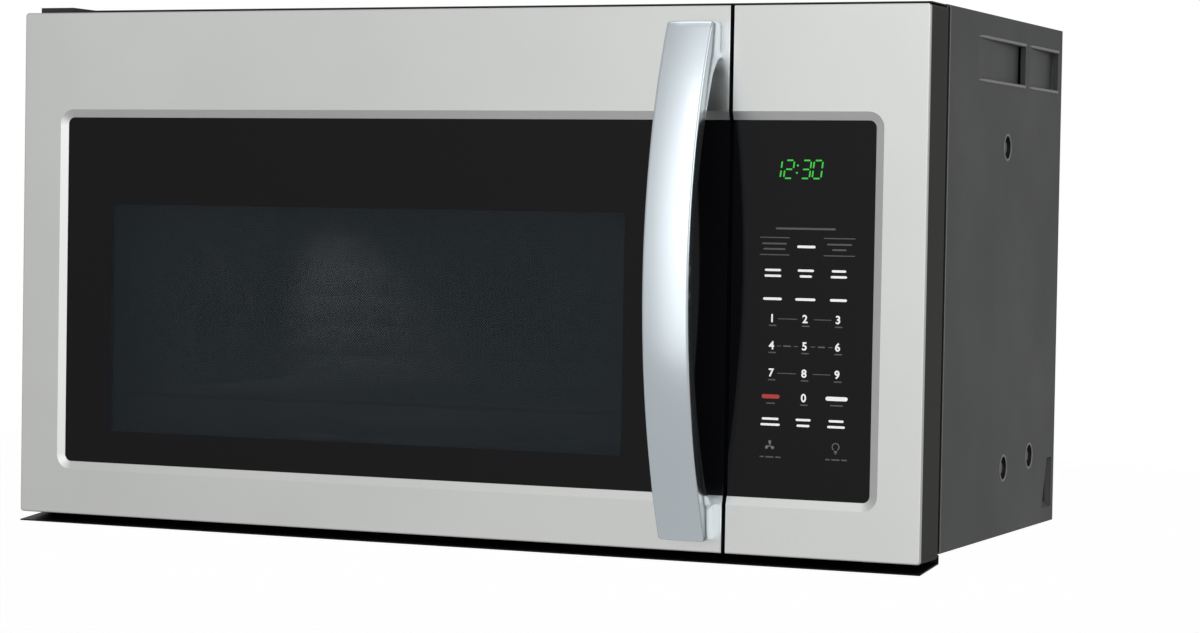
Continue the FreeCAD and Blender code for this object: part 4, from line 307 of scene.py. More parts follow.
def lamp_material():
    """Unlit lamp holders and bulbs, matt and off-white."""
    shade = Shade("lamp_ceramic")
    cloud = shade.noise(40)
    shade.colour(cloud, (0.3, (0.72, 0.71, 0.67)), (0.7, (0.85, 0.84, 0.80)))
    shade.rough(cloud, 0.3, 0.5)
    shade.bump(shade.noise(600), 0.15, 0.00004)
    return shade.material


# the see-through part of the door's glass, in mm from the door case's outline
WINDOW_LEFT, WINDOW_RIGHT, WINDOW_FOOT, WINDOW_HEAD = 80.6, 81.9, 67.6, 151.9
WINDOW_ALPHA = 0.42
PRINT_BLACK = (0.0042, 0.0042, 0.0052)
SMOKED = (0.0185, 0.0255, 0.0305)
SCREEN_MARGIN = 4 * MM
HOLE_PITCH = 2.2 * MM
HOLE_LEVEL = 0.32


def window_limits():
    """Two corners of the window, open along Y."""
    low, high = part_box("door_case")
    return ((low.x + WINDOW_LEFT * MM, None, low.z + WINDOW_FOOT * MM),
            (high.x - WINDOW_RIGHT * MM, None, high.z - WINDOW_HEAD * MM))


def glass_material(name, window=None):
    """Black printed glass; inside the window the print thins out to a smoked pane."""
    shade = Shade(name)
    cloud = shade.noise(3, 2)
    shade.rough(cloud, 0.03, 0.06)
    shade.bump(shade.noise(1.5, 1), 0.02, 0.0004)
    shade.set(Specular_IOR_Level=0.12, IOR=1.5)
    if window:
        mask = shade.inside(*window)
        shade.colour(mask, (0.0, PRINT_BLACK), (1.0, SMOKED))
        shade.link(shade.between(mask, 1.0, WINDOW_ALPHA), shade.surface.inputs["Alpha"])
    else:
        shade.colour(cloud, (0.3, PRINT_BLACK), (0.7, (0.0048, 0.0048, 0.0060)))
    return shade.material


def screen_material():
    """Enamelled screen, perforated with a fine staggered grid of holes behind the window."""
    shade = Shade("perforated_screen")
    low, high = window_limits()
    zone = shade.inside((low[0] - SCREEN_MARGIN, None, low[2] - SCREEN_MARGIN),
                        (high[0] + SCREEN_MARGIN, None, high[2] + SCREEN_MARGIN))
    x, _, z = shade.axes()
    turn = shade.math("MULTIPLY", shade.math("ADD", x, z), math.pi / HOLE_PITCH)
    back = shade.math("MULTIPLY", shade.math("SUBTRACT", x, z), math.pi / HOLE_PITCH)
    field = shade.math("ABSOLUTE", shade.math("MULTIPLY", shade.math("SINE", turn),
                                              shade.math("SINE", back)))
    hole = shade.math("MULTIPLY", shade.math("GREATER_THAN", field, HOLE_LEVEL), zone)
    shade.link(shade.math("SUBTRACT", 1.0, hole), shade.surface.inputs["Alpha"])
    cloud = shade.noise(20)
    shade.colour(cloud, (0.3, (0.035, 0.046, 0.054)), (0.7, (0.043, 0.055, 0.064)))
    shade.rough(cloud, 0.4, 0.5)
    shade.bump(field, 0.2, 0.0002)
    return shade.material


def clear_material(name, colour, alpha, low=0.02, high=0.06, bump=0.02):
    """Thin clear glass or plastic; alpha is how much of it the eye sees."""
    shade = Shade(name)
    cloud = shade.noise(6, 3)
    shade.clouded(cloud, colour, 1.0, 1.05)
    shade.rough(cloud, low, high)
    shade.bump(shade.noise(90, 2), bump, 0.0002)
    return shade.set(Alpha=alpha, IOR=1.5).material


materials.update({
    "board": board_material(),
    "core": core_material(),
    "charcoal": charcoal_material(),
    "filter": filter_material(),
    "mica": mica_material(),
    "lamp": lamp_material(),
    "door_glass": glass_material("door_black_glass", window_limits()),
    "panel_glass": glass_material("panel_black_glass"),
    "screen": screen_material(),
    "pane": clear_material("inner_pane", (0.05, 0.055, 0.055), 0.12),
    "tray": clear_material("pressed_tray_glass", (0.72, 0.80, 0.78), 0.35, 0.03, 0.08, 0.1),
    "lens": clear_material("lamp_lens", (0.8, 0.8, 0.78), 0.55, 0.25, 0.4, 0.4),
})

LOOK = {
    "casing": ["outer_wrap", "base_plate", "front_frame"],
    "grille": ["vent_grille"],
    "zinc": ["rear_panel", "wall_plate", "convection_housing", "exhaust_collar",
             "blower_housing", "waveguide", "damper_flap"],
    "lip": ["front_lip"],
    "hinge": ["upper_hinge", "lower_hinge"],
    "stainless": ["door_skin", "control_skin"],
    "handle": ["handle"],
    "case": ["door_case", "control_case"],
    "door_glass": ["door_glass"],
    "panel_glass": ["control_glass"],
    "screen": ["door_screen"],
    "pane": ["door_inner_pane"],
    "black": ["choke_cover", "fan_shroud", "interlock_switches", "cord_gland", "cooling_fan",
              "blower_wheels"],
    "board": ["control_board"],
    "enamel": ["cavity_liner", "cavity_back"],
    "wire": ["wire_rack"],
    "lamp": ["cavity_lamp", "cooktop_lamps"],
    "motor": ["turntable_motor", "convection_motor", "blower_motor", "cooling_fan_motor",
              "magnetron", "convection_fan"],
    "dark_metal": ["convection_element"],
    "charcoal": ["charcoal_filter"],
    "mica": ["waveguide_cover"],
    "core": ["hv_transformer"],
    "can": ["hv_capacitor"],
    "white": ["latch_board", "latch_hooks", "drive_coupler", "roller_ring", "roller_1",
              "roller_2", "roller_3"],
    "screw": ["door_screws"],
    "black_screw": ["case_screws"],
    "spring": ["latch_spring"],
    "tray": ["glass_tray"],
    "filter": ["grease_filter_left", "grease_filter_right"],
    "lens": ["lamp_cover"],
}
for look, names in LOOK.items():
    for name in names:
        mesh = NODES[name].data
        mesh.materials.clear()
        mesh.materials.append(materials[look])


# ---------------------------------------------------------------- pieces

def finished(name, work, smooth=False):
    """The mesh of a bmesh, which is let go."""
    bmesh.ops.recalc_face_normals(work, faces=work.faces)
    for face in work.faces:
        face.smooth = smooth
    data = bpy.data.meshes.new(name)
    work.to_mesh(data)
    work.free()
    return data


def make(name, mesh_data, material, body):
    """A piece of the scene that rides on a body of the frame."""
    piece = bpy.data.objects.new(name, mesh_data)
    bpy.context.scene.collection.objects.link(piece)
    piece.data.materials.clear()
    piece.data.materials.append(material)
    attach(piece, body)
    return piece


def ink(name, colour, glow=0.0):
    """Screen-printed ink; a glow makes it a lit segment, and on the white print it is a painted
    glow.
    """
    shade = Shade(name)
    cloud = shade.noise(500, 2)
    shade.clouded(cloud, colour, 0.94, 1.03)
    shade.rough(cloud, 0.35, 0.5)
    shade.bump(cloud, 0.05, 0.00002)
    if glow:
        shade.surface.inputs["Emission Color"].default_value = (*colour, 1)
        shade.surface.inputs["Emission Strength"].default_value = glow
    return shade.material


INKS = {
    # the white print glows faintly though no lamp is behind it: painted light
    "white": ink("ink_white_painted_glow", (0.90, 0.90, 0.90), 0.14),
    "grey": ink("ink_grey", (0.085, 0.085, 0.09)),
    "red": ink("ink_red", (0.50, 0.03, 0.025)),
    "green": ink("clock_green", (0.02, 0.42, 0.03), 0.55),
}

GLASS_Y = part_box("control_glass")[0].y
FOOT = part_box("control_case")[0].z
INK = 0.08 * MM
INK_SEAT = 0.01 * MM


def flat_mesh(name, outlines):
    """Thin prints on the glass: each outline is a list of (x, z) in metres, convex."""
    work = bmesh.new()
    for outline in outlines:
        front = [work.verts.new((x, GLASS_Y - INK, z)) for x, z in outline]
        back = [work.verts.new((x, GLASS_Y - INK_SEAT, z)) for x, z in outline]
        work.faces.new(front)
        work.faces.new(list(reversed(back)))
        for index in range(len(outline)):
            after = (index + 1) % len(outline)
            work.faces.new((front[after], front[index], back[index], back[after]))
    return finished(name, work)


def on_panel(x, z):
    """A point of the print, from millimetres off the axis and the panel's foot."""
    return (x * MM, FOOT + z * MM)


def bar(x, z, width, height, ends=4):
    """A bar with round ends, centred at x, z."""
    radius = height / 2
    points = []
    for centre, start in ((x + width / 2 - radius, -90), (x - width / 2 + radius, 90)):
        for step in range(ends + 1):
            angle = math.radians(start + 180 * step / ends)
            points.append(on_panel(centre + radius * math.cos(angle),
                                   z + radius * math.sin(angle)))
    return points


def run(start, end, z, height):
    """A bar from start to end."""
    return bar((start + end) / 2, z, end - start, height)


def disc(x, z, radius, steps=20):
    turns = [2 * math.pi * step / steps for step in range(steps)]
    return [on_panel(x + radius * math.cos(turn), z + radius * math.sin(turn)) for turn in turns]


COLUMNS = (261.5, 286.8, 312.0)
ROWS = {"heading": 238.4, "keys_1": 225.4, "keys_2": 206.1, "keys_3": 187.3, "one": 172.9,
        "four": 153.2, "seven": 133.4, "zero": 115.7, "keys_4": 98.0, "icons": 80.6, "marks": 72.3}
# heights of the printed bars
ONE_LINE, TWO_LINE, BLOCK = 1.9, 1.7, 3.0
LINE_SPREAD = 2.1
HAIR, FRAME, UNDERLINE, SMALL = 0.6, 0.7, 0.9, 1.2


def two_lines(row, widths_by_column):
    """An upper and a lower bar on each key of a row."""
    bars = []
    for column, (upper, lower) in zip(COLUMNS, widths_by_column):
        bars.append(bar(column, ROWS[row] + LINE_SPREAD, upper, TWO_LINE))
        bars.append(bar(column, ROWS[row] - LINE_SPREAD, lower, TWO_LINE))
    return bars


white, grey, red = [], [], []
# key captions of one line and of two, as plain bars
white.append(bar(COLUMNS[1], ROWS["keys_1"], 14.0, ONE_LINE))
white += two_lines("keys_2", ((12.5, 13.0), (12.5, 9.5), (11.0, 12.5)))
for column, width in zip(COLUMNS, (14.5, 15.5, 13.0)):
    white.append(bar(column, ROWS["keys_3"], width, ONE_LINE))
white += two_lines("keys_4", ((13.0, 15.0), (11.5, 10.0), (11.5, 13.5)))
red.append(bar(COLUMNS[0], ROWS["zero"] + 0.6, 14.0, BLOCK))
white.append(bar(COLUMNS[2], ROWS["zero"] + 0.6, 17.0, BLOCK))
# grey heading, and the two framed keys on either side
grey.append(bar(286.0, ROWS["heading"], 46.0, 1.4))
for column, low, high, lower in ((262.3, 251.0, 274.0, 17.0), (312.0, 300.0, 324.0, 11.0)):
    for level in (231.8, 219.3):
        grey.append(run(low, high, level, FRAME))
    grey.append(bar(column, 227.4, 19.0, SMALL))
    grey.append(bar(column, 223.5, lower, SMALL))
# lines between the digits, and under them
for row in ("one", "seven"):
    for start, end in ((266.0, 281.0), (293.5, 307.0)):
        grey.append(run(start, end, ROWS[row], HAIR))
for start, end, thick in ((265.6, 268.9, HAIR), (270.4, 276.6, 1.1), (278.6, 281.9, HAIR),
                          (291.4, 295.2, HAIR), (297.0, 302.5, 1.1), (305.0, 308.3, HAIR)):
    grey.append(run(start, end, ROWS["four"], thick))
for row in ("one", "four", "seven"):
    for column in COLUMNS:
        grey.append(bar(column + 0.6, ROWS[row] - 4.9, 6.0, UNDERLINE))
grey.append(bar(COLUMNS[0], ROWS["zero"] - 4.3, 7.0, UNDERLINE))
grey.append(bar(COLUMNS[1] + 0.4, ROWS["zero"] - 4.8, 6.0, UNDERLINE))
grey.append(bar(COLUMNS[2], ROWS["zero"] - 4.3, 10.0, UNDERLINE))
for column in (COLUMNS[0], COLUMNS[2]):
    for offset, width in ((-6.0, 3.4), (0.0, 6.5), (6.6, 4.4)):
        grey.append(bar(column + offset, ROWS["marks"], width, 1.0))


def fan_icon(x, z):
    """Three teardrop blades round a hub."""
    shapes = [disc(x, z, 0.7, 12)]
    for turn in (90, 210, 330):
        points = []
        for radius, lean in ((1.1, -26), (2.4, -30), (3.7, -16), (4.0, 4), (3.3, 20), (2.0, 22),
                             (1.0, 14)):
            angle = math.radians(turn + lean)
            points.append(on_panel(x + radius * math.cos(angle), z + radius * math.sin(angle)))
        shapes.append(points)
    return shapes


def ring_icon(x, z, radius, thick, start, end, steps=20):
    """An arc drawn as short straight strokes."""
    shapes = []
    for step in range(steps):
        corners = []
        for place, reach in ((step, radius), (step + 1, radius), (step + 1, radius - thick),
                             (step, radius - thick)):
            angle = math.radians(start + (end - start) * place / steps)
            corners.append(on_panel(x + reach * math.cos(angle), z + reach * math.sin(angle)))
        shapes.append(corners)
    return shapes


def bulb_icon(x, z):
    """An open ring over three short lines."""
    shapes = ring_icon(x, z + 1.0, 2.9, 0.55, -55, 235)
    for level, width in ((-2.1, 2.6), (-3.0, 2.4), (-3.9, 1.6)):
        shapes.append(bar(x, z + level, width, 0.5))
    return shapes


faint = fan_icon(COLUMNS[0], ROWS["icons"]) + bulb_icon(COLUMNS[2], ROWS["icons"])
for name, outlines, material, slot in (
        ("print_white", white, INKS["white"], "white_plastic"),
        ("print_grey", grey, INKS["grey"], "panel_glass"),
        ("print_red", red, INKS["red"], "panel_glass"),
        ("print_icons", faint, ink("ink_pale", (0.17, 0.17, 0.175)), "white_plastic")):
    make(name, flat_mesh(name, outlines), material, "oven")

NUMERAL_HEIGHT = 5.8
CAPITAL_SHARE = 0.72
NUMERAL_WEIGHT = 0.00022
NUMERAL_DEPTH = 0.03 * MM
NUMERAL_OUT = 0.045 * MM


def digit(symbol, x, z):
    """One numeral of the built-in plain font, as a thin print on the glass."""
    curve = bpy.data.curves.new("numeral_" + symbol, "FONT")
    curve.body = symbol
    curve.align_x = "CENTER"
    curve.align_y = "CENTER"
    curve.size = NUMERAL_HEIGHT / CAPITAL_SHARE * MM
    curve.extrude = NUMERAL_DEPTH
    curve.offset = NUMERAL_WEIGHT
    curve.resolution_u = 6
    curve_object = bpy.data.objects.new("numeral_curve_" + symbol, curve)
    bpy.context.scene.collection.objects.link(curve_object)
    bpy.context.view_layer.update()
    depsgraph = bpy.context.evaluated_depsgraph_get()
    data = bpy.data.meshes.new_from_object(curve_object.evaluated_get(depsgraph))
    bpy.data.objects.remove(curve_object)
    across, up = on_panel(x, z)
    data.transform(Matrix.Translation((across, GLASS_Y - NUMERAL_OUT, up))
                   @ Matrix.Rotation(math.pi / 2, 4, "X"))
    make("numeral_" + symbol, data, INKS["white"], "oven")


for row, symbols in (("one", "123"), ("four", "456"), ("seven", "789")):
    for column, symbol in zip(COLUMNS, symbols):
        digit(symbol, column, ROWS[row])
digit("0", COLUMNS[1], ROWS["zero"])

SEGMENTS = {"1": "bc", "2": "abged", "3": "abgcd", "0": "abcdef"}
CLOCK_Z = 274.8
CLOCK_HEIGHT = 13.0
SEGMENT = 1.15
SEGMENT_GAP = 0.62
LEAN = 0.12


def clock_segments(symbol, x, width):
    """The lit bars of one seven-segment numeral, leaning to the right."""
    top, half = CLOCK_HEIGHT, CLOCK_HEIGHT / 2
    runs = {
        "a": ((0, top), (width, top)), "b": ((width, top), (width, half)),
        "c": ((width, half), (width, 0)), "d": ((0, 0), (width, 0)), "e": ((0, half), (0, 0)),
        "f": ((0, top), (0, half)), "g": ((0, half), (width, half)),
    }
    shapes = []
    gap = SEGMENT * SEGMENT_GAP
    for name in SEGMENTS[symbol]:
        (x0, z0), (x1, z1) = runs[name]
        length = math.hypot(x1 - x0, z1 - z0)
        ux, uz = (x1 - x0) / length, (z1 - z0) / length
        px, pz = -uz * SEGMENT / 2, ux * SEGMENT / 2
        tx, tz = ux * SEGMENT / 2, uz * SEGMENT / 2
        (ax, az), (bx, bz) = (x0 + ux * gap, z0 + uz * gap), (x1 - ux * gap, z1 - uz * gap)
        points = [(ax, az), (ax + tx + px, az + tz + pz), (bx - tx + px, bz - tz + pz), (bx, bz),
                  (bx - tx - px, bz - tz - pz), (ax + tx - px, az + tz - pz)]
        shapes.append([on_panel(x + a + b * LEAN, CLOCK_Z + b) for a, b in points])
    return shapes


# each numeral with its left edge and its width
CLOCK_DIGITS = (("1", 259.5, 6.2), ("2", 268.4, 6.6), ("3", 281.4, 6.6), ("0", 290.2, 6.6))
lit = []
for symbol, x, width in CLOCK_DIGITS:
    lit += clock_segments(symbol, x, width)
for level in (4.0, 9.3):
    lit.append(disc(278.0 + level * LEAN, CLOCK_Z + level, 0.75, 12))
make("clock_digits", flat_mesh("clock_digits", lit), INKS["green"], "oven")


# ---------------------------------------------------------------- handle

def ring_mesh(name, rings, cap=True):
    """A smooth skin through rings of equal length, closed at both ends if capped."""
    work = bmesh.new()
    loops = [[work.verts.new(point) for point in ring] for ring in rings]
    for first, second in zip(loops, loops[1:]):
        for index in range(len(first)):
            after = (index + 1) % len(first)
            work.faces.new((first[index], first[after], second[after], second[index]))
    if cap:
        work.faces.new(loops[0])
        work.faces.new(list(reversed(loops[-1])))
    return finished(name, work, smooth=True)


def bow(z, middle, half, end, crown):
    """How far out a circular arc stands at height z, between end at the tips and crown."""
    rise = end - crown
    radius = (half * half + rise * rise) / (2 * rise)
    return crown + radius - math.sqrt(radius * radius - (z - middle) ** 2)


def quarter(steps):
    return [math.radians(90 * step / steps) for step in range(steps + 1)]


FEET = 26 * MM          # height of each foot
FILLET = 16 * MM        # inner curve between foot and bow
HEEL = 9 * MM           # how far the back of the bow stands off at a foot
BAR_DEPTH = 13 * MM
TIP_STANDS_OUT = 20 * MM
TIP_ROUND = 1.8 * MM
FRONT_CORNER, REAR_CORNER = 2.6 * MM, 2.0 * MM
CROWN = 1.3 * MM        # how far the middle of the front stands proud of its corners
FRONT_STEPS = 12


def handle_levels(half):
    """Heights of the rings over the handle's middle: close at the tips, feet and fillets."""
    levels = [half]
    for inset in (0.15, 0.5, 1.0, 1.8):
        levels.append(half - inset * MM)
    level = half - 6 * MM
    while level > half - FEET + 3 * MM:
        levels.append(level)
        level -= 5 * MM
    level = half - FEET + 0.4 * MM
    while level > half - FEET - FILLET:
        levels.append(level)
        level -= 1.3 * MM
    steps = 14
    start = half - FEET - FILLET
    levels += [start * (1 - step / steps) for step in range(steps + 1)]
    return levels + [-level for level in reversed(levels) if level > 1e-9]


def handle_rings():
    """Sections of the bowed bar, from its top tip to its lower one."""
    low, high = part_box("handle")
    middle, half = (low.z + high.z) / 2, (high.z - low.z) / 2
    face, crown = high.y, low.y
    rings = []
    for level in handle_levels(half):
        z = middle + level
        shrink = max(0.0, TIP_ROUND - (half - abs(level)))
        shrink = TIP_ROUND - math.sqrt(max(0.0, TIP_ROUND ** 2 - shrink ** 2))
        front = bow(z, middle, half, face - TIP_STANDS_OUT, crown) + shrink
        reach = abs(level)
        if reach > half - FEET:
            back = face
        else:
            back = bow(z, middle, half - FEET, face - HEEL, crown + BAR_DEPTH)
            share = max(0.0, (reach - (half - FEET - FILLET)) / FILLET)
            back += (face - back) * (1 - math.sqrt(1 - share * share))
        left, right = low.x + shrink, high.x - shrink
        ring = []
        for angle in reversed(quarter(5)):
            ring.append((left + FRONT_CORNER * (1 - math.sin(angle)),
                         front + CROWN + FRONT_CORNER * (1 - math.cos(angle))))
        for step in range(1, FRONT_STEPS):
            share = step / FRONT_STEPS
            ring.append((left + FRONT_CORNER + (right - left - 2 * FRONT_CORNER) * share,
                         front + CROWN * (2 * share - 1) ** 2))
        for angle in quarter(5):
            ring.append((right - FRONT_CORNER * (1 - math.sin(angle)),
                         front + CROWN + FRONT_CORNER * (1 - math.cos(angle))))
        rear = 0.0 if back > face - REAR_CORNER else REAR_CORNER
        for angle in quarter(3):
            ring.append((right - rear * (1 - math.cos(angle)), back - rear * (1 - math.sin(angle))))
        for angle in quarter(3):
            ring.append((left + rear * (1 - math.sin(angle)), back - rear * (1 - math.cos(angle))))
        rings.append([(x, y, z) for x, y in ring])
    return rings


handle_bow = make("handle_bow", ring_mesh("handle_bow", handle_rings()), materials["handle"],
                  "door")
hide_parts("handle")


# ---------------------------------------------------------------- pressed details of the casing

wrap_low, wrap_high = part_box("outer_wrap")
SIDE = wrap_high.x
BEAD_WIDTH, BEAD_PROUD, BEAD_SEAT = 3.0 * MM, 0.9 * MM, 0.3 * MM
BEAD_TAPER = 0.12
BEAD_OVER = 1.3 * MM


def bead(y0, y1, z, side):
    """A pressed bead along Y on the casing's side, tapering to nothing at its front end."""
    face = side * SIDE
    rings = []
    for share in (0.0, 0.04, BEAD_TAPER, 0.5, 0.97, 1.0):
        grow = min(1.0, share / BEAD_TAPER)
        high = BEAD_PROUD * grow * (0.35 if share == 1.0 else 1.0)
        half = BEAD_WIDTH / 2 * (0.45 + 0.55 * grow)
        y = y0 + (y1 - y0) * share
        sunk = face - side * BEAD_SEAT
        rings.append([(sunk, y, z - half), (face + side * high * 0.9, y, z - half * 0.45),
                      (face + side * high, y, z), (face + side * high * 0.9, y, z + half * 0.45),
                      (sunk, y, z + half)])
    return ring_mesh("bead", rings)


def joined(name, parts):
    """One mesh out of several."""
    work = bmesh.new()
    for part in parts:
        work.from_mesh(part)
        bpy.data.meshes.remove(part)
    data = bpy.data.meshes.new(name)
    work.to_mesh(data)
    work.free()
    return data


# the two louvres: each one's rear end and length along Y, and the upper and lower edge of both
LOUVRES = ((112 * MM, 129 * MM), (14 * MM, 86 * MM))
LOUVRE_TOP, LOUVRE_FOOT = 19.0 * MM, 49.0 * MM
beads = []
for side in (1, -1):
    for back, length in LOUVRES:
        for drop in (LOUVRE_TOP - BEAD_OVER, LOUVRE_FOOT + BEAD_OVER):
            beads.append(bead(-back - length, -back + 1.5 * MM, wrap_high.z - drop, side))
# the beads take the lighter casing paint, a painted highlight along the louvres' edges
make("louvre_beads", joined("louvre_beads", beads), materials["edge"], "oven")


def roll(x, y, low, high, radius):
    """A slim rolled edge, standing along Z and rounded at both ends."""
    rings = []
    for z, share in ((low, 0.2), (low + radius, 1.0), (high - radius, 1.0), (high, 0.2)):
        rings.append([(x + radius * share * math.cos(math.radians(45 * k)),
                       y + radius * share * math.sin(math.radians(45 * k)), z) for k in range(8)])
    return ring_mesh("roll", rings)


# the seam behind the front: place behind the cover's front edge, and radius. A near-black strip
# stands for the shadow in the seam (painted shadow); the hems take the lighter casing paint as a
# painted highlight
SEAM_SHADOW, HEM = (4.4 * MM, 1.1 * MM), (6.9 * MM, 1.0 * MM)
for name, (place, radius), look, slot in (("seam_shadow_strip", SEAM_SHADOW, "lip", "lip_black"),
                                          ("wrap_hems", HEM, "edge", "casing_grey")):
    strips = [roll(side * (SIDE + 0.1 * MM), wrap_low.y + place, wrap_low.z + 1 * MM,
                   wrap_high.z - 1 * MM, radius) for side in (1, -1)]
    make(name, joined(name, strips), materials[look], "oven")
skin_low, skin_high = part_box("door_skin")
pane_low, pane_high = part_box("door_glass")
# rolled right edges of the door skin, in the handle's lighter and smoother steel: a painted
# highlight on top of what their round shape catches
DOOR_EDGE, DOOR_EDGE_SEAT = 0.55 * MM, 0.45 * MM
edges = [roll(skin_high.x - DOOR_EDGE, skin_low.y + DOOR_EDGE_SEAT, low, high, DOOR_EDGE)
         for low, high in ((skin_low.z + 1 * MM, pane_low.z - 6 * MM),
                           (pane_high.z + 6 * MM, skin_high.z - 1 * MM))]
make("door_edge_rolls", joined("door_edge_rolls", edges), materials["handle"], "door")

# Y and Z of the screw dimples
DIMPLES = ((-158 * MM, wrap_high.z - 99 * MM), (-152 * MM, wrap_low.z + 52 * MM),
           (-78 * MM, wrap_low.z + 57 * MM))
# height over the side and radius, in mm: the hollow from the screw outwards, painted near-black as
# its shade, and the roll at the mouth, painted lighter as a highlight
SHADED_HOLLOW = ((-3.8, 4.5), (-3.8, 7.6), (-3.0, 8.6), (-0.3, 8.93))
RIM = ((-0.2, 8.9), (0.35, 9.25), (0.45, 9.7), (0.3, 10.2), (-0.2, 10.8))


def turned(y, z, side, profile):
    """A round open skin about a dimple's axis."""
    turns = [math.radians(15 * step) for step in range(24)]
    rings = []
    for proud, radius in profile:
        x = side * (SIDE + proud * MM)
        rings.append([(x, y + radius * MM * math.cos(turn), z + radius * MM * math.sin(turn))
                      for turn in turns])
    return ring_mesh("turned", rings, cap=False)


# the hollows take the near-black paint as painted shade, the rims the lighter paint as a painted
# highlight
for name, profile, look, slot in (("dimple_shaded_hollows", SHADED_HOLLOW, "lip", "lip_black"),
                                  ("dimple_rims", RIM, "edge", "casing_grey")):
    rounds = [turned(y, z, side, profile) for side in (1, -1) for y, z in DIMPLES]
    make(name, joined(name, rounds), materials[look], "oven")


def scoop(side):
    """The slanted face and the pocket seen through the hand notch low at the back."""
    low, high = wrap_low.z + 12 * MM, wrap_low.z + 52 * MM
    outline = [(-37 * MM, low), (-10 * MM, low), (-10 * MM, high), (-23.5 * MM, high)]
    inner = [(-24 * MM, low + 4 * MM), (-12 * MM, low + 4 * MM), (-12 * MM, high - 2 * MM),
             (-17 * MM, high - 2 * MM)]
    work = bmesh.new()
    mouth, slope, bottom = [
        [work.verts.new((side * (SIDE - depth * MM), y, z)) for y, z in points]
        for depth, points in ((1.0, outline), (4.5, inner), (9, inner))]
    for first, second in ((mouth, slope), (slope, bottom)):
        for index in range(4):
            after = (index + 1) % 4
            work.faces.new((first[index], first[after], second[after], second[index]))
    work.faces.new(bottom)
    return finished("scoop", work)


make("notch_scoops", joined("notch_scoops", [scoop(1), scoop(-1)]), materials["casing"], "oven")


# ---------------------------------------------------------------- stage, light, camera

ROOM = 0.42                             # the room's even light
GLOW = 1.36                             # and how much brighter it is in one direction
GLOW_FROM = (0.085, -0.970, 0.225)
GLOW_TIGHTNESS = 5.0
PALE = 0.16                             # share of the white background that reflections show
FLOOR_LIFT = 0.56                       # lifts the floor's own grey to white
FLOOR_LEVEL, FLOOR_FRONT, FLOOR_FAR = -7.0, -24.6, 90.0
CAMERA_PLACE = (1.0487, -2.5343, 0.0443)
CAMERA_PITCH, CAMERA_ROLL, CAMERA_YAW = -0.0308, -0.0172, 0.4026
CAMERA_LENS = 95.19


def seen_white(tree):
    """1 on the rays that show the background itself, and PALE on reflected ones."""
    ray = tree.nodes.new("ShaderNodeLightPath")
    seen = maths(tree, "MAXIMUM", ray.outputs["Is Camera Ray"], ray.outputs["Is Transmission Ray"])
    pale = maths(tree, "MULTIPLY", ray.outputs["Is Glossy Ray"], PALE)
    return maths(tree, "MAXIMUM", seen, pale)


def stage_material(name, colour):
    """Pale floor paint; the camera sees it lifted to white, with its shadow kept."""
    shade = Shade(name)
    shade.surface.inputs["Base Color"].default_value = (*colour, 1)
    shade.surface.inputs["Roughness"].default_value = 0.95
    shade.surface.inputs["Specular IOR Level"].default_value = 0.1
    shade.surface.inputs["Emission Color"].default_value = (1, 1, 1, 1)
    shade.link(shade.math("MULTIPLY", seen_white(shade.tree), FLOOR_LIFT),
               shade.surface.inputs["Emission Strength"])
    return shade.material


def floor():
    """A pale floor far below the hung oven, so that it can be seen from underneath as well."""
    level, front, far = FLOOR_LEVEL, FLOOR_FRONT, FLOOR_FAR
    data = bpy.data.meshes.new("floor")
    data.from_pydata([(-far, front, level), (far, front, level), (far, far, level),
                      (-far, far, level)], [], [(0, 1, 2, 3)])
    plane = bpy.data.objects.new("floor", data)
    bpy.context.scene.collection.objects.link(plane)
    data.materials.append(stage_material("floor_paint", (0.80, 0.80, 0.80)))


def world():
    """White behind the object; to the light, a soft room that is brightest in front of it."""
    sky = bpy.data.worlds.new("studio")
    bpy.context.scene.world = sky
    sky.use_nodes = True
    tree = sky.node_tree
    background = tree.nodes["Background"]
    background.inputs["Color"].default_value = (1, 1, 1, 1)

    aim = tree.nodes.new("ShaderNodeVectorMath")
    aim.operation = "DOT_PRODUCT"
    tree.links.new(tree.nodes.new("ShaderNodeTexCoord").outputs["Generated"], aim.inputs[0])
    aim.inputs[1].default_value = GLOW_FROM
    ahead = maths(tree, "MAXIMUM", aim.outputs["Value"], 0.0)
    lobe = maths(tree, "POWER", ahead, GLOW_TIGHTNESS)
    room = maths(tree, "ADD", maths(tree, "MULTIPLY", lobe, GLOW), ROOM)
    blend = tree.nodes.new("ShaderNodeMix")
    blend.inputs["B"].default_value = 1.0
    tree.links.new(room, blend.inputs["A"])
    tree.links.new(seen_white(tree), blend.inputs["Factor"])
    tree.links.new(blend.outputs["Result"], background.inputs["Strength"])


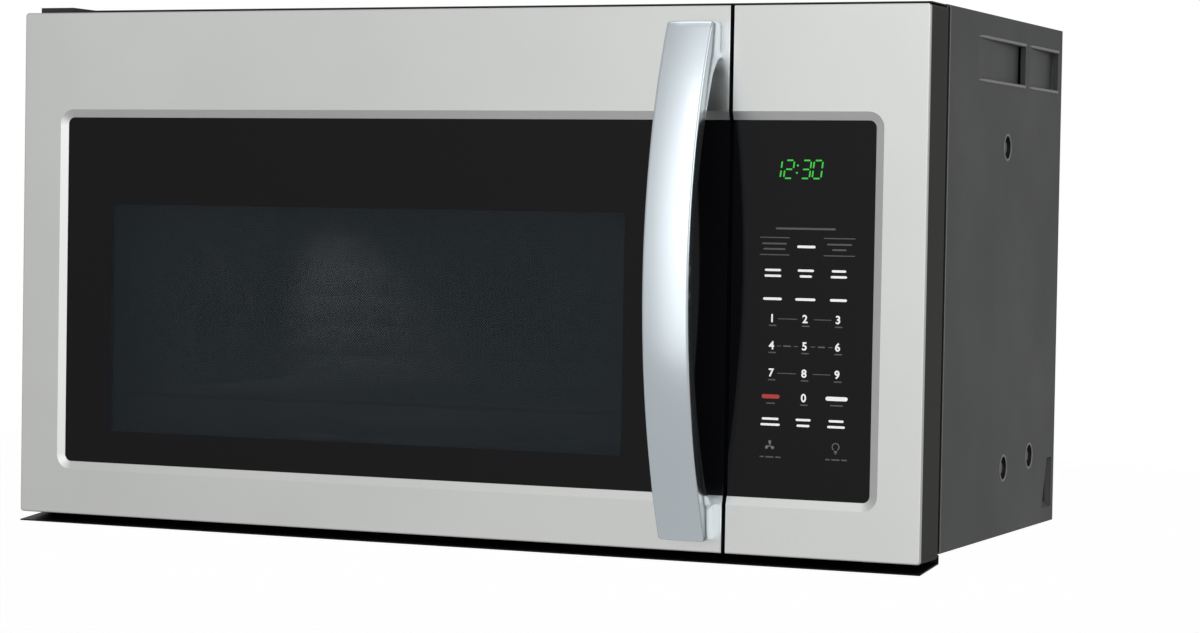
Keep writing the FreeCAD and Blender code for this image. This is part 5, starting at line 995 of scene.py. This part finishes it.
def aimed(data, place, target):
    """Put a light of the scene at a place, shining at a target."""
    item = bpy.data.objects.new(data.name, data)
    bpy.context.scene.collection.objects.link(item)
    item.location = place
    item.rotation_euler = (Vector(target) - Vector(place)).to_track_quat("-Z", "Y").to_euler()
    return item


def lamp(name, place, target, width, height, power):
    data = bpy.data.lights.new(name, "AREA")
    data.shape = "RECTANGLE"
    data.size = width
    data.size_y = height
    data.energy = power
    aimed(data, place, target)


def cavity_spot(place, target, angle, radius, power):
    """A faint light inside the cavity, so that some of its back wall shows through the window."""
    data = bpy.data.lights.new("cavity", "SPOT")
    data.spot_size = math.radians(angle)
    data.spot_blend = 1.0
    data.shadow_soft_size = radius
    data.energy = power
    aimed(data, place, target).visible_glossy = False


def camera():
    """The photo's camera, turned about Z, then X, then Y."""
    cx, sx = math.cos(CAMERA_PITCH), math.sin(CAMERA_PITCH)
    cy, sy = math.cos(CAMERA_ROLL), math.sin(CAMERA_ROLL)
    cz, sz = math.cos(CAMERA_YAW), math.sin(CAMERA_YAW)
    turn_z = Matrix(((cz, sz, 0), (-sz, cz, 0), (0, 0, 1)))
    turn_x = Matrix(((1, 0, 0), (0, cx, sx), (0, -sx, cx)))
    turn_y = Matrix(((cy, 0, -sy), (0, 1, 0), (sy, 0, cy)))
    right, forward, up = turn_y @ turn_x @ turn_z
    data = bpy.data.cameras.new("photo")
    data.sensor_width = 36.0
    data.lens = CAMERA_LENS
    data.clip_end = 100
    item = bpy.data.objects.new("photo", data)
    bpy.context.scene.collection.objects.link(item)
    basis = Matrix((right, up, -forward)).transposed().to_4x4()
    item.matrix_world = Matrix.Translation(CAMERA_PLACE) @ basis
    bpy.context.scene.camera = item


floor()
world()
camera()
lamp("key", (0.75, -3.6, 1.35), (0.0, -0.3, 0.0), 2.6, 2.2, 7)
lamp("side", (3.4, -0.6, 1.0), (0.3, -0.2, 0), 1.8, 1.8, 11)
lamp("top", (0, -0.6, 3.0), (0, -0.2, 0), 3.0, 2.4, 18)
cavity_spot((-0.33, -0.12, 0.085), (-0.25, -0.03, -0.065), 58, 0.012, 0.8)
bpy.context.scene.view_settings.view_transform = "Standard"
